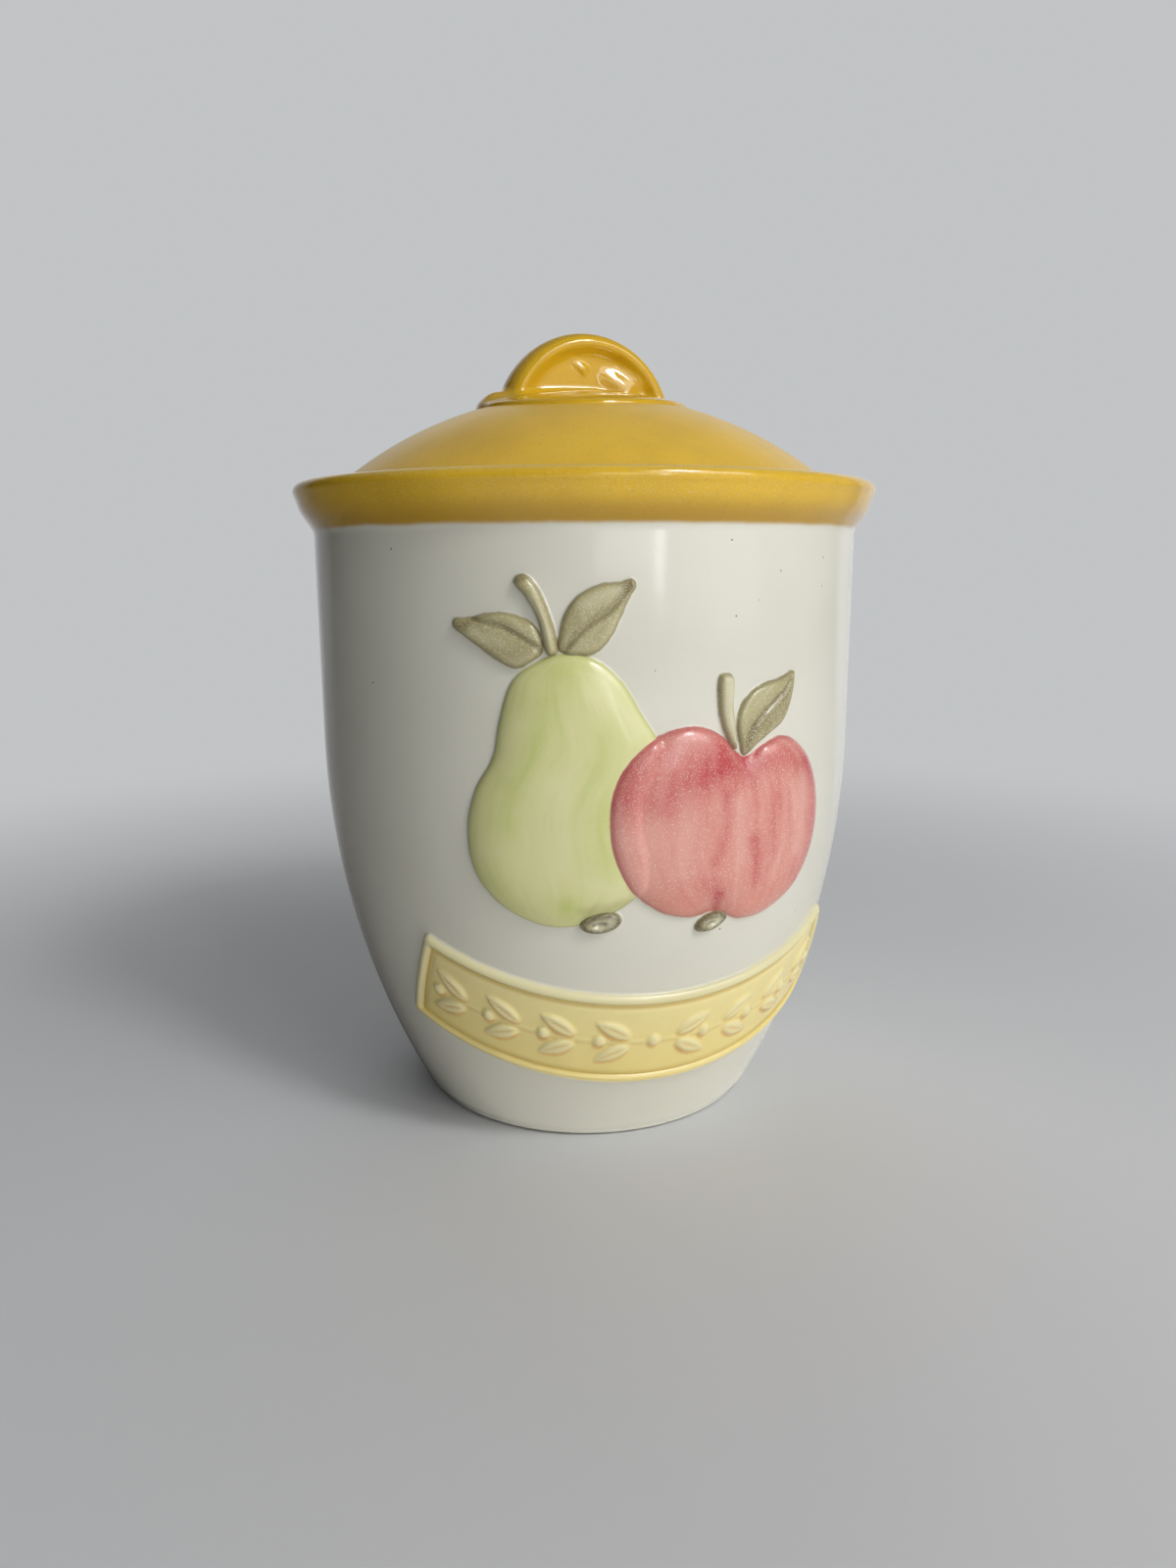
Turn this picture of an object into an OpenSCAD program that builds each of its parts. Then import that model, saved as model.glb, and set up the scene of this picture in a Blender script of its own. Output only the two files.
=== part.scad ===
// Rumtopf pot: a lidded stoneware jar for layering fruit in spirit.
// Z is up, the foot stands at z = 0 on the pot's axis, and the fruit relief faces -Y.
// All lengths are in millimetres.

/* [Jar] */
// Height of the jar without its lid, foot to lip
jar_h = 205.6; // [190:0.1:240]
// Outer diameter of the straight upper wall
body_d = 178; // [170:0.5:182]
// Outer diameter of the wall where it meets the table
foot_d = 115; // [100:0.5:130]
// Height at which the belly curve becomes the straight wall
belly_z = 125; // [100:1:150]
// Thickness of the wall
wall_t = 6.5; // [5:0.1:8]
// Thickness of the floor
floor_t = 7; // [5:0.1:10]
// Radius of the inside corner between floor and wall
floor_round = 14; // [8:0.5:20]

/* [Foot ring] */
// Depth of the recess under the floor, and height of the bare foot ring
foot_h = 3; // [2:0.1:5]
// Width of the foot ring
foot_w = 7; // [5:0.1:10]
// Width of the glazed edge round the foot ring
foot_edge_w = 2.6; // [1.5:0.1:4]
// Gap between the glazed edge and the table
foot_clear = 0.6; // [0.3:0.1:1]
// Chamfer of the glazed edge
foot_chamfer = 0.8; // [0.4:0.1:1]

/* [Rim] */
// How far the lip stands out from the upper wall
lip_out = 6; // [5:0.1:10]
// Roundness of the lip
lip_round = 2.6; // [2:0.1:3]
// Lean of the flared rim from upright, in degrees
flare_a = 27; // [22:1:35]
// Radius of the crease under the flare
crease_r = 5; // [3:0.5:8]
// Depth of the ledge that carries the lid, below the lip
ledge_depth = 10.6; // [9:0.1:13]
// Width of that ledge
ledge_w = 5.8; // [4.5:0.1:6.5]
// Height of the upright wall above the ledge
gallery_h = 2; // [1:0.5:4]

/* [Lid] */
// Play between the lid's edge and the rim, on each side
lid_play = 1.6; // [1:0.1:2.5]
// Gap between the lid and its ledge
seat_gap = 0.3; // [0.2:0.1:0.6]
// Thickness of the lid's edge
lid_edge_t = 4.7; // [3.5:0.1:6]
// Height of the dome above its edge
dome_h = 34.4; // [28:0.2:44]
// Thickness of the dome
dome_t = 5.5; // [4:0.1:7]
// Depth of the ring that centres the lid
ring_h = 8; // [5:0.5:12]
// Thickness of the ring that centres the lid
ring_t = 5.5; // [4:0.1:8]
// Chamfer of that ring's lower outer edge
ring_chamfer = 1.5; // [0.5:0.1:2]
// Play between that ring and the mouth, on each side
ring_play = 1.2; // [0.8:0.1:2]
// Gap between that ring and the lid
turn_gap = 0.2; // [0.1:0.05:0.5]
// Roundness of the lid's edge
lid_edge_round = 1.2; // [0.5:0.1:2]

/* [Knob] */
// Diameter of the low pad under the knob
pad_d = 72; // [60:1:84]
// Thickness of the pad
pad_t = 3; // [2:0.1:4]
// Roundness of the pad's edge
pad_round = 2.2; // [1:0.1:2.4]
// Height of the knob above the top of the dome
knob_h = 19.8; // [15:0.2:24]
// Radius of the knob's arch
knob_r = 30; // [26:0.5:32]
// Thickness of the arch's rim
knob_t = 16; // [12:0.5:18]
// Width of the arch's rim
knob_rim_w = 8; // [6:0.5:10]
// Roundness of the arch's rim
knob_round = 3.6; // [2:0.1:3.8]
// Depth of the hollow in each face of the knob
knob_hollow = 4; // [2:0.5:4.5]
// Direction in which the knob's face looks, from the fruit side, in degrees
knob_turn = 5; // [-90:1:90]

/* [Fruit relief] */
// Width of the whole fruit group
fruit_w = 113.5; // [100:0.5:120]
// Height of the apple above the wall
apple_t = 4.2; // [2.5:0.1:5]
// Height of the pear above the wall
pear_t = 3.6; // [2.5:0.1:5]
// Height of the leaves above the wall
leaf_t = 1.9; // [1:0.1:3]
// Height of the stems above the wall
stem_t = 2.4; // [1:0.1:3]
// Height of the flower ends above the wall
calyx_t = 3.2; // [2:0.1:4]
// Gap between neighbouring pieces, and between a piece and what carries it
piece_gap = 0.12; // [0.1:0.01:0.2]
// Gap between the pear and the apple that overlaps it
fruit_gap = 0.4; // [0.3:0.05:0.6]

/* [Banner] */
// Height of the banner's upper edge above the table, at its middle
banner_z = 57; // [52:0.5:60]
// Radius of the arc that the upper edge follows
banner_arc = 165; // [150:1:200]
// Half of the angle that the arc spans, in degrees
banner_a = 25; // [18:0.5:26]
// Width of the banner, measured down the wall
banner_w = 33; // [28:0.5:35]
// Width of the raised frame
frame_w = 4; // [3:0.1:5]
// Height of the raised frame above the wall
frame_t = 2.6; // [2:0.1:3.5]
// Width of the slope along the frame's edges
frame_slope = 1.1; // [0.6:0.1:1.4]
// Height of the sunk field above the wall
panel_t = 1.2; // [0.8:0.1:1.6]
// Height of the garland above the field
garland_t = 1.3; // [0.8:0.1:2]
// Length of a garland leaf
garland_leaf_l = 14; // [10:0.5:15]
// Width of a garland leaf
garland_leaf_w = 5.6; // [4:0.2:6.5]
// Gap between the roots of a pair of garland leaves
garland_root_gap = 2.8; // [1:0.1:4]
// Diameter of a garland berry
berry_d = 4.6; // [3.5:0.1:5]

/* [Hidden] */
$fn = 96;

cream = [0.88, 0.87, 0.82];
golden = [0.84, 0.65, 0.18];
bare_clay = [0.80, 0.74, 0.64];
pear_green = [0.78, 0.83, 0.55];
apple_red = [0.80, 0.43, 0.41];
olive = [0.59, 0.58, 0.43];
banner_cream = [0.92, 0.90, 0.74];
banner_yellow = [0.89, 0.81, 0.47];

// Jar sizes that follow from the ones above
body_r = body_d / 2;
mouth_r = body_r - wall_t;
foot_r = foot_d / 2;
belly_dip = body_r - foot_r;
belly_arc = (belly_dip * belly_dip + belly_z * belly_z) / (2 * belly_dip);
lip_c = [body_r + lip_out - lip_round, jar_h - lip_round];
flare_top = lip_c + lip_round * [cos(flare_a), -sin(flare_a)];
corner_z = flare_top[1] - (flare_top[0] - body_r) / tan(flare_a);
crease_c = [body_r + crease_r, corner_z - crease_r * tan(flare_a / 2)];
band_z = crease_c[1] + crease_r * sin(flare_a);
ledge_z = jar_h - ledge_depth;
gallery_r = mouth_r + ledge_w;
floor_z = foot_h + floor_t;

// Lid sizes that follow from the ones above
lid_z = ledge_z + seat_gap;
lid_r = gallery_r - lid_play;
lid_edge_z = lid_z + lid_edge_t;
dome_r = (lid_r * lid_r + dome_h * dome_h) / (2 * dome_h);
dome_top = lid_edge_z + dome_h;
dome_c = dome_top - dome_r;
ring_r = mouth_r - ring_play;
ring_in_r = ring_r - ring_t;
knob_c = dome_top + knob_h - knob_r;

// Middle of the plain wall between banner and rim, where the fruit group is centred
fruit_z = (banner_z + band_z) / 2;

// Outlines of the fruit on the unrolled wall: across and up from the group's middle,
// listed anticlockwise. The pear's outline starts and ends on the apple.
APPLE = [[21.5, 3], [13.5, 10], [4.5, 12.5], [-7, 9.5], [-14.5, 2.5], [-18, -7],
         [-17.5, -20], [-13, -31], [-7.5, -37], [0, -41.2], [7, -42.2], [13, -41.4],
         [18.5, -42.2], [25, -45.8], [36, -45], [48, -39], [55, -27], [55, -12],
         [49.5, 0], [42, 6.5], [35, 8.4], [29, 6.6]];
APPLE_MID = [19, -18];
// Where the pear's outline starts and ends, counted along the apple's points
BITE_TOP = 3;
BITE_LOW = 8;
PEAR = [[-10, 17], [-15, 25], [-22, 31], [-30, 32.8], [-38, 30.4], [-45, 24.8], [-48.5, 14],
        [-50.5, 4], [-56, -6], [-58.5, -18], [-56.5, -30], [-49, -39], [-38, -44],
        [-29, -44.4], [-26, -40.4], [-20.5, -38.6], [-14.6, -38]];
PEAR_MID = [-34, -12];
PEAR_STEM = [[-42.2, 53.4], [-44.3, 51.4], [-41, 47.3], [-37.6, 41], [-35.3, 34.4],
             [-33.2, 34.2], [-33, 37], [-34.2, 42], [-36.6, 48], [-39.4, 52.2]];
PEAR_STEM_MID = [-37.8, 45];
PEAR_LEAF_LEFT = [[-60.5, 42], [-54.5, 36], [-49.5, 31.8], [-44.5, 29.6], [-40.8, 31],
                  [-36.6, 33.6], [-37.6, 37.2], [-40.2, 41.8], [-46.5, 44.2], [-54, 43.2]];
PEAR_LEAF_LEFT_MID = [-47, 37.4];
PEAR_LEAF_RIGHT = [[-12.6, 52], [-16.5, 51.2], [-21.5, 50.9], [-27, 48.2], [-30.6, 43.4],
                   [-31.9, 38.5], [-31.6, 34.4], [-27, 34], [-22.5, 34.2], [-18.5, 37],
                   [-15.8, 42.5], [-13.4, 48]];
PEAR_LEAF_RIGHT_MID = [-23.4, 42];
APPLE_STEM = [[14.6, 26.2], [12.4, 24.6], [12.6, 18.5], [13.8, 13], [16.2, 9.8],
              [18.2, 9], [17.9, 12], [17.2, 18], [17, 24.6]];
APPLE_STEM_MID = [15.2, 18];
APPLE_LEAF = [[39, 25.6], [34, 24.4], [27, 23.2], [21.5, 19.8], [19, 15], [19.4, 9.6],
              [21.5, 5], [26, 6.8], [31, 9.9], [35.4, 12.8], [38, 18.5]];
APPLE_LEAF_MID = [28, 15];
// Flower ends: middle, half length, half width and tilt
PEAR_CALYX = [[-20.6, -42.9], 6.3, 3.4, 10];
APPLE_CALYX = [[13.2, -45.6], 5.4, 2.8, 10];
// Scale that gives the outlines their width on the wall
fruit_scale = fruit_w / (max([for (p = APPLE) p[0]]) - min([for (p = PEAR) p[0]]));

// Domed section of a relief piece, from its back out to its edge and in over its front:
// share of the outline's size, then share of the piece's height
RELIEF = [[0.18, 0], [0.34, 0], [0.5, 0], [0.67, 0], [0.84, 0], [1, 0],
          [0.985, 0.38], [0.93, 0.64], [0.8, 0.84], [0.55, 0.96], [0.25, 1]];
SMALL_RELIEF = [[0.5, 0], [1, 0], [0.95, 0.5], [0.8, 0.8], [0.45, 0.97]];

// Points that the belly's curve is drawn with
BELLY_STEPS = 24;
// Points that each span of an outline is drawn with
FRUIT_SPAN = 3;
LEAF_SPAN = 2;

// Garland: leaves in pairs that point away from the middle, with berries between them
GARLAND_PAIRS = 4;
garland_pitch = 2 * (banner_a - 3) / (2 * GARLAND_PAIRS);
garland_lean = 24;
GARLAND_SIDES = [-1, 1];
LEAF_STATIONS = 5;
BERRY_SIDES = 10;

// Radius of the jar's outer wall at a height
function wall_r(z) =
    z >= belly_z ? body_r : body_r - belly_arc + sqrt(belly_arc * belly_arc - pow(belly_z - z, 2));

// Radius of the flared rim at a height
function flare_r(z) = flare_top[0] - tan(flare_a) * (flare_top[1] - z);

// Height of a sphere about the dome's centre at a radius
function cap_z(r, sphere_r) = dome_c + sqrt(sphere_r * sphere_r - r * r);

// Points on an arc, from one angle to another
function arc(c, r, a0, a1, n) =
    [for (i = [0 : n]) c + r * [cos(a0 + (a1 - a0) * i / n), sin(a0 + (a1 - a0) * i / n)]];

// Evenly spread values from one number to another
function spread(a, b, n) = [for (i = [0 : n]) a + (b - a) * i / n];

// Smooth curve through four points, between the middle two
function spline(a, b, c, d, t) =
    0.5 * (2 * b + (c - a) * t + (2 * a - 5 * b + 4 * c - d) * t * t
           + (3 * b - a - 3 * c + d) * t * t * t);

// Smooth closed outline through a list of points
function closed_curve(p, n) =
    let (m = len(p))
    [for (i = [0 : m - 1]) for (k = [0 : n - 1])
        spline(p[(i + m - 1) % m], p[i], p[(i + 1) % m], p[(i + 2) % m], k / n)];

// Smooth open curve through a list of points, without its last point
function open_curve(p, n) =
    let (m = len(p))
    [for (i = [0 : m - 2]) for (k = [0 : n - 1])
        spline(p[max(i - 1, 0)], p[i], p[i + 1], p[min(i + 2, m - 1)], k / n)];

// A point moved away from another by a distance
function pushed(p, from, by) = p + by * (p - from) / norm(p - from);

// Ellipse as an outline: middle, half length, half width and tilt
function oval(o, n) =
    [for (i = [0 : n - 1])
        let (a = 360 * i / n, x = o[1] * cos(a), y = o[2] * sin(a))
        o[0] + [x * cos(o[3]) - y * sin(o[3]), x * sin(o[3]) + y * cos(o[3])]];

// Point given from the fruit group's middle, at its width and height on the jar
function on_wall(p) = fruit_scale * p + [0, fruit_z];

// Place on the unrolled wall of a banner point: angle along the arc, distance below its upper edge
function on_banner(a, d) =
    [(banner_arc + d) * sin(a) * body_r / wall_r(banner_z),
     banner_z + banner_arc - (banner_arc + d) * cos(a)];

// A point of the unrolled wall wrapped round the jar, at a height above the wall
function wrapped(p, lift) =
    let (r = wall_r(p[1]) + piece_gap + lift, a = p[0] / body_r * 180 / PI)
    [r * sin(a), -r * cos(a), p[1]];

// Triangles between neighbouring rings of n points each
function ring_faces(rings, n) =
    [for (k = [0 : rings - 2]) for (i = [0 : n - 1])
        let (a = k * n + i, b = k * n + (i + 1) % n)
        each [[a, a + n, b + n], [a, b + n, b]]];

// A relief piece: an outline domed over the wall, closed by a back that follows the wall
module relief(outline, mid, height, lift = 0, section = RELIEF) {
    n = len(outline);
    rings = len(section);
    back = rings * n;
    front = back + 1;
    points = concat(
        [for (s = section) for (q = outline) wrapped(mid + s[0] * (q - mid), lift + s[1] * height)],
        [wrapped(mid, lift), wrapped(mid, lift + height)]);
    caps = [for (i = [0 : n - 1])
        each [[back, i, (i + 1) % n], [front, back - n + (i + 1) % n, back - n + i]]];
    polyhedron(points, concat(ring_faces(rings, n), caps), convexity = 6);
}

// Jar

function inner_corner() =
    let (lean = asin((belly_z - floor_z - floor_round / 2) / belly_arc),
         z = floor_z + floor_round * (1 - sin(lean)),
         c = [wall_r(z) - wall_t - floor_round * cos(lean), floor_z + floor_round])
    arc(c, floor_round, -90, -lean, 8);

module jar_body() {
    belly = spread(foot_clear + 2 * foot_chamfer, belly_z, BELLY_STEPS);
    inside = inner_corner();
    inside_top = inside[len(inside) - 1][1];
    hollow = spread(belly_z, inside_top, BELLY_STEPS);
    color(cream)
    rotate_extrude()
    polygon(concat(
        [[0, foot_h], [foot_r - foot_edge_w, foot_h],
         [foot_r - foot_edge_w, foot_clear + foot_chamfer],
         [foot_r - foot_edge_w + foot_chamfer, foot_clear], [foot_r - foot_chamfer, foot_clear]],
        [for (z = belly) [wall_r(z), z]],
        arc(crease_c, crease_r, 180, 180 - flare_a, 6),
        [[mouth_r, band_z]],
        [for (z = hollow) [wall_r(z) - wall_t, z]],
        [for (i = [len(inside) - 2 : -1 : 0]) inside[i]],
        [[0, floor_z]]));
}

module rim_band() {
    color(golden)
    rotate_extrude()
    polygon(concat(
        [[mouth_r, band_z], [flare_r(band_z), band_z]],
        arc(lip_c, lip_round, -flare_a, 180, 12),
        [[gallery_r, ledge_z + gallery_h], [gallery_r, ledge_z], [mouth_r, ledge_z]]));
}

module foot_ring() {
    outer = foot_r - foot_edge_w - piece_gap;
    round_r = 1;
    color(bare_clay)
    rotate_extrude()
    polygon(concat(
        [[outer - foot_w, foot_h]],
        arc([outer - foot_w + round_r, round_r], round_r, 180, 270, 3),
        arc([outer - round_r, round_r], round_r, 270, 360, 3),
        [[outer, foot_h]]));
}

// Fruit

apple_curve = closed_curve(APPLE, FRUIT_SPAN);
apple_bite = [for (i = [BITE_LOW * FRUIT_SPAN : -1 : BITE_TOP * FRUIT_SPAN])
    pushed(apple_curve[i], APPLE_MID, fruit_gap / fruit_scale)];
pear_side = concat([apple_bite[len(apple_bite) - 1]], PEAR, [apple_bite[0]]);
pear_curve = concat(open_curve(pear_side, FRUIT_SPAN), [for (i = [0 : len(apple_bite) - 2]) apple_bite[i]]);

module fruit_piece(outline, mid, height) {
    relief([for (p = outline) on_wall(p)], on_wall(mid), height);
}

module pear() {
    color(pear_green) fruit_piece(pear_curve, PEAR_MID, pear_t);
}

module pear_stem() {
    color(olive) fruit_piece(closed_curve(PEAR_STEM, LEAF_SPAN), PEAR_STEM_MID, stem_t);
}

module pear_leaf_left() {
    color(olive) fruit_piece(closed_curve(PEAR_LEAF_LEFT, LEAF_SPAN), PEAR_LEAF_LEFT_MID, leaf_t);
}

module pear_leaf_right() {
    color(olive) fruit_piece(closed_curve(PEAR_LEAF_RIGHT, LEAF_SPAN), PEAR_LEAF_RIGHT_MID, leaf_t);
}

module pear_calyx() {
    color(olive) fruit_piece(oval(PEAR_CALYX, 20), PEAR_CALYX[0], calyx_t);
}

module apple() {
    color(apple_red) fruit_piece(apple_curve, APPLE_MID, apple_t);
}

module apple_stem() {
    color(olive) fruit_piece(closed_curve(APPLE_STEM, LEAF_SPAN), APPLE_STEM_MID, stem_t);
}

module apple_leaf() {
    color(olive) fruit_piece(closed_curve(APPLE_LEAF, LEAF_SPAN), APPLE_LEAF_MID, leaf_t);
}

module apple_calyx() {
    color(olive) fruit_piece(oval(APPLE_CALYX, 20), APPLE_CALYX[0], calyx_t);
}

// Banner

// The banner's outline drawn in by a distance, anticlockwise from its lower left corner
function banner_loop(inset, long_n, short_n) =
    let (low = banner_w - inset,
         a_top = banner_a - inset / banner_arc * 180 / PI,
         ends = spread(low, inset, short_n),
         sweep = spread(-a_top, a_top, long_n))
    concat(
        [for (i = [0 : long_n - 1]) on_banner(sweep[i], low)],
        [for (i = [0 : short_n - 1]) on_banner(a_top, ends[i])],
        [for (i = [long_n : -1 : 1]) on_banner(sweep[i], inset)],
        [for (i = [short_n : -1 : 1]) on_banner(-a_top, ends[i])]);

module banner_frame() {
    long_n = 40;
    short_n = 6;
    n = 2 * (long_n + short_n);
    // Distance in from the outer edge, and height, round the frame's section
    brow = 0.3 * frame_slope;
    section = [[frame_w, 0], [0, 0], [brow, 0.7 * frame_t], [frame_slope, frame_t],
               [frame_w - frame_slope, frame_t], [frame_w - brow, 0.7 * frame_t]];
    rings = len(section);
    points = [for (s = section) for (q = banner_loop(s[0], long_n, short_n)) wrapped(q, s[1])];
    seam = [for (i = [0 : n - 1])
        let (j = (i + 1) % n, last = (rings - 1) * n)
        each [[last + i, i, j], [last + i, j, last + j]]];
    color(banner_cream) polyhedron(points, concat(ring_faces(rings, n), seam), convexity = 6);
}

module banner_panel() {
    long_n = 44;
    short_n = 6;
    inset = frame_w + piece_gap;
    a_end = banner_a - inset / banner_arc * 180 / PI;
    across = spread(-a_end, a_end, long_n);
    down = spread(banner_w - inset, inset, short_n);
    // One closed section at each place across: up the back, then down the front
    points = [for (a = across) each concat(
        [for (d = down) wrapped(on_banner(a, d), 0)],
        [for (i = [short_n : -1 : 0]) wrapped(on_banner(a, down[i]), panel_t)])];
    n = 2 * (short_n + 1);
    last = long_n * n;
    caps = [for (i = [0 : short_n - 1])
        let (a = i, b = i + 1, c = n - 2 - i, d = n - 1 - i)
        each [[a, b, c], [a, c, d], [last + a, last + c, last + b], [last + a, last + d, last + c]]];
    color(banner_yellow) polyhedron(points, concat(ring_faces(long_n + 1, n), caps), convexity = 6);
}

// Pointed leaf along +X from the origin, as an outline
function leaf_outline(l, w) =
    let (bulge = [for (i = [1 : LEAF_STATIONS]) let (t = i / (LEAF_STATIONS + 1))
            [l * t, w / 2 * pow(sin(180 * pow(t, 0.85)), 0.8)]])
    concat([[0, 0]],
        [for (q = bulge) [q[0], -q[1]]],
        [[l, 0]],
        [for (i = [LEAF_STATIONS - 1 : -1 : 0]) bulge[i]]);

// A local outline set on the banner: angle along the arc, distance below its edge, turn
function set_on_banner(p, a, d, turn) =
    let (o = on_banner(a, d))
    [for (q = p) o + [q[0] * cos(turn) - q[1] * sin(turn), q[0] * sin(turn) + q[1] * cos(turn)]];

module banner_leaves() {
    leaf = leaf_outline(garland_leaf_l, garland_leaf_w);
    mid = [[garland_leaf_l * 0.45, 0]];
    color(banner_cream)
    for (side = GARLAND_SIDES) for (i = [0 : GARLAND_PAIRS - 1]) for (up = GARLAND_SIDES) {
        a = side * (i + 0.42) * garland_pitch;
        along = side > 0 ? a : a + 180;
        turn = along + up * side * garland_lean;
        d = banner_w / 2 - up * garland_root_gap / 2;
        relief(set_on_banner(leaf, a, d, turn), set_on_banner(mid, a, d, turn)[0],
               garland_t, panel_t + piece_gap, SMALL_RELIEF);
    }
}

module banner_berries() {
    color(banner_cream)
    for (i = [-GARLAND_PAIRS : GARLAND_PAIRS]) {
        a = i * garland_pitch;
        at = on_banner(a, banner_w / 2);
        relief(oval([at, berry_d / 2, berry_d / 2, 0], BERRY_SIDES), at,
               garland_t, panel_t + piece_gap, SMALL_RELIEF);
    }
}

// Lid

module lid_dome() {
    steps = 16;
    inner_r = dome_r - dome_t;
    a_edge = asin((lid_r - lid_edge_round) / dome_r);
    a_inner = asin(ring_in_r / inner_r);
    color(golden)
    rotate_extrude()
    polygon(concat(
        [for (a = spread(0, a_edge, steps)) [dome_r * sin(a), dome_c + dome_r * cos(a)]],
        [[lid_r, lid_edge_z - lid_edge_round / 2], [lid_r, lid_z + lid_edge_round],
         [lid_r - lid_edge_round, lid_z], [ring_in_r, lid_z]],
        [for (a = spread(a_inner, 0, steps)) [inner_r * sin(a), dome_c + inner_r * cos(a)]]));
}

module lid_locating_ring() {
    top = lid_z - turn_gap;
    in_chamfer = ring_chamfer / 2;
    color(golden)
    rotate_extrude()
    polygon([[ring_in_r, top], [ring_in_r, top - ring_h + in_chamfer],
             [ring_in_r + in_chamfer, top - ring_h], [ring_r - ring_chamfer, top - ring_h],
             [ring_r, top - ring_h + ring_chamfer], [ring_r, top]]);
}

module knob_pad() {
    steps = 10;
    base_r = dome_r + piece_gap;
    top_r = dome_r + pad_t;
    rim_x = pad_d / 2;
    round_c = [rim_x - pad_round, cap_z(rim_x - pad_round, top_r) - pad_round];
    lean = asin((rim_x - pad_round) / top_r);
    color(golden)
    rotate_extrude()
    polygon(concat(
        [for (a = spread(0, asin(rim_x / base_r), steps)) [base_r * sin(a), dome_c + base_r * cos(a)]],
        arc(round_c, pad_round, 0, 90 - lean, 5),
        [for (a = spread(lean, 0, steps)) [top_r * sin(a), dome_c + top_r * cos(a)]]));
}

module lid_knob() {
    half_t = knob_t / 2;
    section = concat(
        arc([knob_r - knob_round, half_t - knob_round], knob_round, 0, 90, 4),
        arc([knob_r - knob_rim_w + knob_round, half_t - knob_round], knob_round, 90, 180, 4),
        arc([knob_r - knob_rim_w + knob_round, knob_round - half_t], knob_round, 180, 270, 4),
        arc([knob_r - knob_round, knob_round - half_t], knob_round, 270, 360, 4));
    web_t = knob_t - 2 * knob_hollow;
    color(golden)
    rotate([0, 0, knob_turn])
    difference() {
        translate([0, 0, knob_c])
        rotate([90, 0, 0])
        union() {
            rotate_extrude() polygon(section);
            translate([0, 0, -web_t / 2]) cylinder(r = knob_r - knob_rim_w / 2, h = web_t);
        }
        translate([0, 0, dome_c]) sphere(r = dome_r + pad_t + piece_gap, $fn = 200);
    }
}

jar_body();
rim_band();
foot_ring();
pear();
pear_stem();
pear_leaf_left();
pear_leaf_right();
pear_calyx();
apple();
apple_stem();
apple_leaf();
apple_calyx();
banner_frame();
banner_panel();
banner_leaves();
banner_berries();
lid_dome();
lid_locating_ring();
knob_pad();
lid_knob();
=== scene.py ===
import math

import bpy
import numpy as np
from mathutils import Matrix

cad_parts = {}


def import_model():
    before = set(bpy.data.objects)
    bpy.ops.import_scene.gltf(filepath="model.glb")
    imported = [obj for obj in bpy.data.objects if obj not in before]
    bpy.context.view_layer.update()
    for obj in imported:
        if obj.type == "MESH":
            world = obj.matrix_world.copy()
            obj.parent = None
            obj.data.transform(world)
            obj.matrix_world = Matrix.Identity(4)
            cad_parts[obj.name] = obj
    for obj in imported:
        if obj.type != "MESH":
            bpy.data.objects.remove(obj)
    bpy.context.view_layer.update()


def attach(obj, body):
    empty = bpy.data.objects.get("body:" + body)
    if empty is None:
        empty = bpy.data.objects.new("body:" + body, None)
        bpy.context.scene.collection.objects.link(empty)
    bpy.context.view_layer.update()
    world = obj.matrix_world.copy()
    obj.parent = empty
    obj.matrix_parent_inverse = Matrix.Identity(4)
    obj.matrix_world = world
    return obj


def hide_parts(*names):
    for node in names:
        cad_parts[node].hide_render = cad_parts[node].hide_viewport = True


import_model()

# Rumtopf pot: a glazed stoneware jar with a fruit relief, a banner and a domed lid.
# Lengths are in millimetres until a mesh is made. The foot stands at z = 0 on the pot's
# axis, and the relief faces -Y. Places on the relief are (u, v): across and up the
# unrolled wall from the middle of the fruit group.

MM = 0.001

# Jar
BODY_R = 89
WALL_T = 6.5
FOOT_R = 57.5
BELLY_Z = 125
FLOOR_Z = 10
FLOOR_ROUND = 14
FOOT_H = 3
FOOT_W = 7
FOOT_EDGE_W = 2.6
FOOT_CLEAR = 0.6
FOOT_CHAMFER = 0.8
MOUTH_R = BODY_R - WALL_T
BELLY_ARC = ((BODY_R - FOOT_R) ** 2 + BELLY_Z ** 2) / (2 * (BODY_R - FOOT_R))

# Rim
JAR_H = 205.6
LIP_R = 95
LIP_ROUND = 2.6
FLARE_A = math.radians(27)
CREASE_R = 5
FLARE_BULGE = 0.7
LEDGE_Z = 195
GALLERY_R = 88.3
GALLERY_H = 2
LIP_C = (LIP_R - LIP_ROUND, JAR_H - LIP_ROUND)
FLARE_TOP = (LIP_C[0] + LIP_ROUND * math.cos(FLARE_A), LIP_C[1] - LIP_ROUND * math.sin(FLARE_A))
CORNER_Z = FLARE_TOP[1] - (FLARE_TOP[0] - BODY_R) / math.tan(FLARE_A)
CREASE_C = (BODY_R + CREASE_R, CORNER_Z - CREASE_R * math.tan(FLARE_A / 2))
BAND_Z = CREASE_C[1] + CREASE_R * math.sin(FLARE_A)
BAND_R = CREASE_C[0] - CREASE_R * math.cos(FLARE_A)

# Lid
LID_Z = 195.3
LID_R = 86.7
LID_EDGE_Z = 200
LID_EDGE_ROUND = 1.2
DOME_H = 34.4
DOME_T = 5.5
RING_H = 8
RING_R = MOUTH_R - 1.2
RING_IN_R = RING_R - 5.5
RING_CHAMFER = 1.5
TURN_GAP = 0.2
DOME_R = (LID_R ** 2 + DOME_H ** 2) / (2 * DOME_H)
DOME_TOP = LID_EDGE_Z + DOME_H
DOME_C = DOME_TOP - DOME_R

# Knob
KNOB_TOP = 254.2
KNOB_R = 30
KNOB_C = KNOB_TOP - KNOB_R
KNOB_TURN = math.radians(5)

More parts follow.
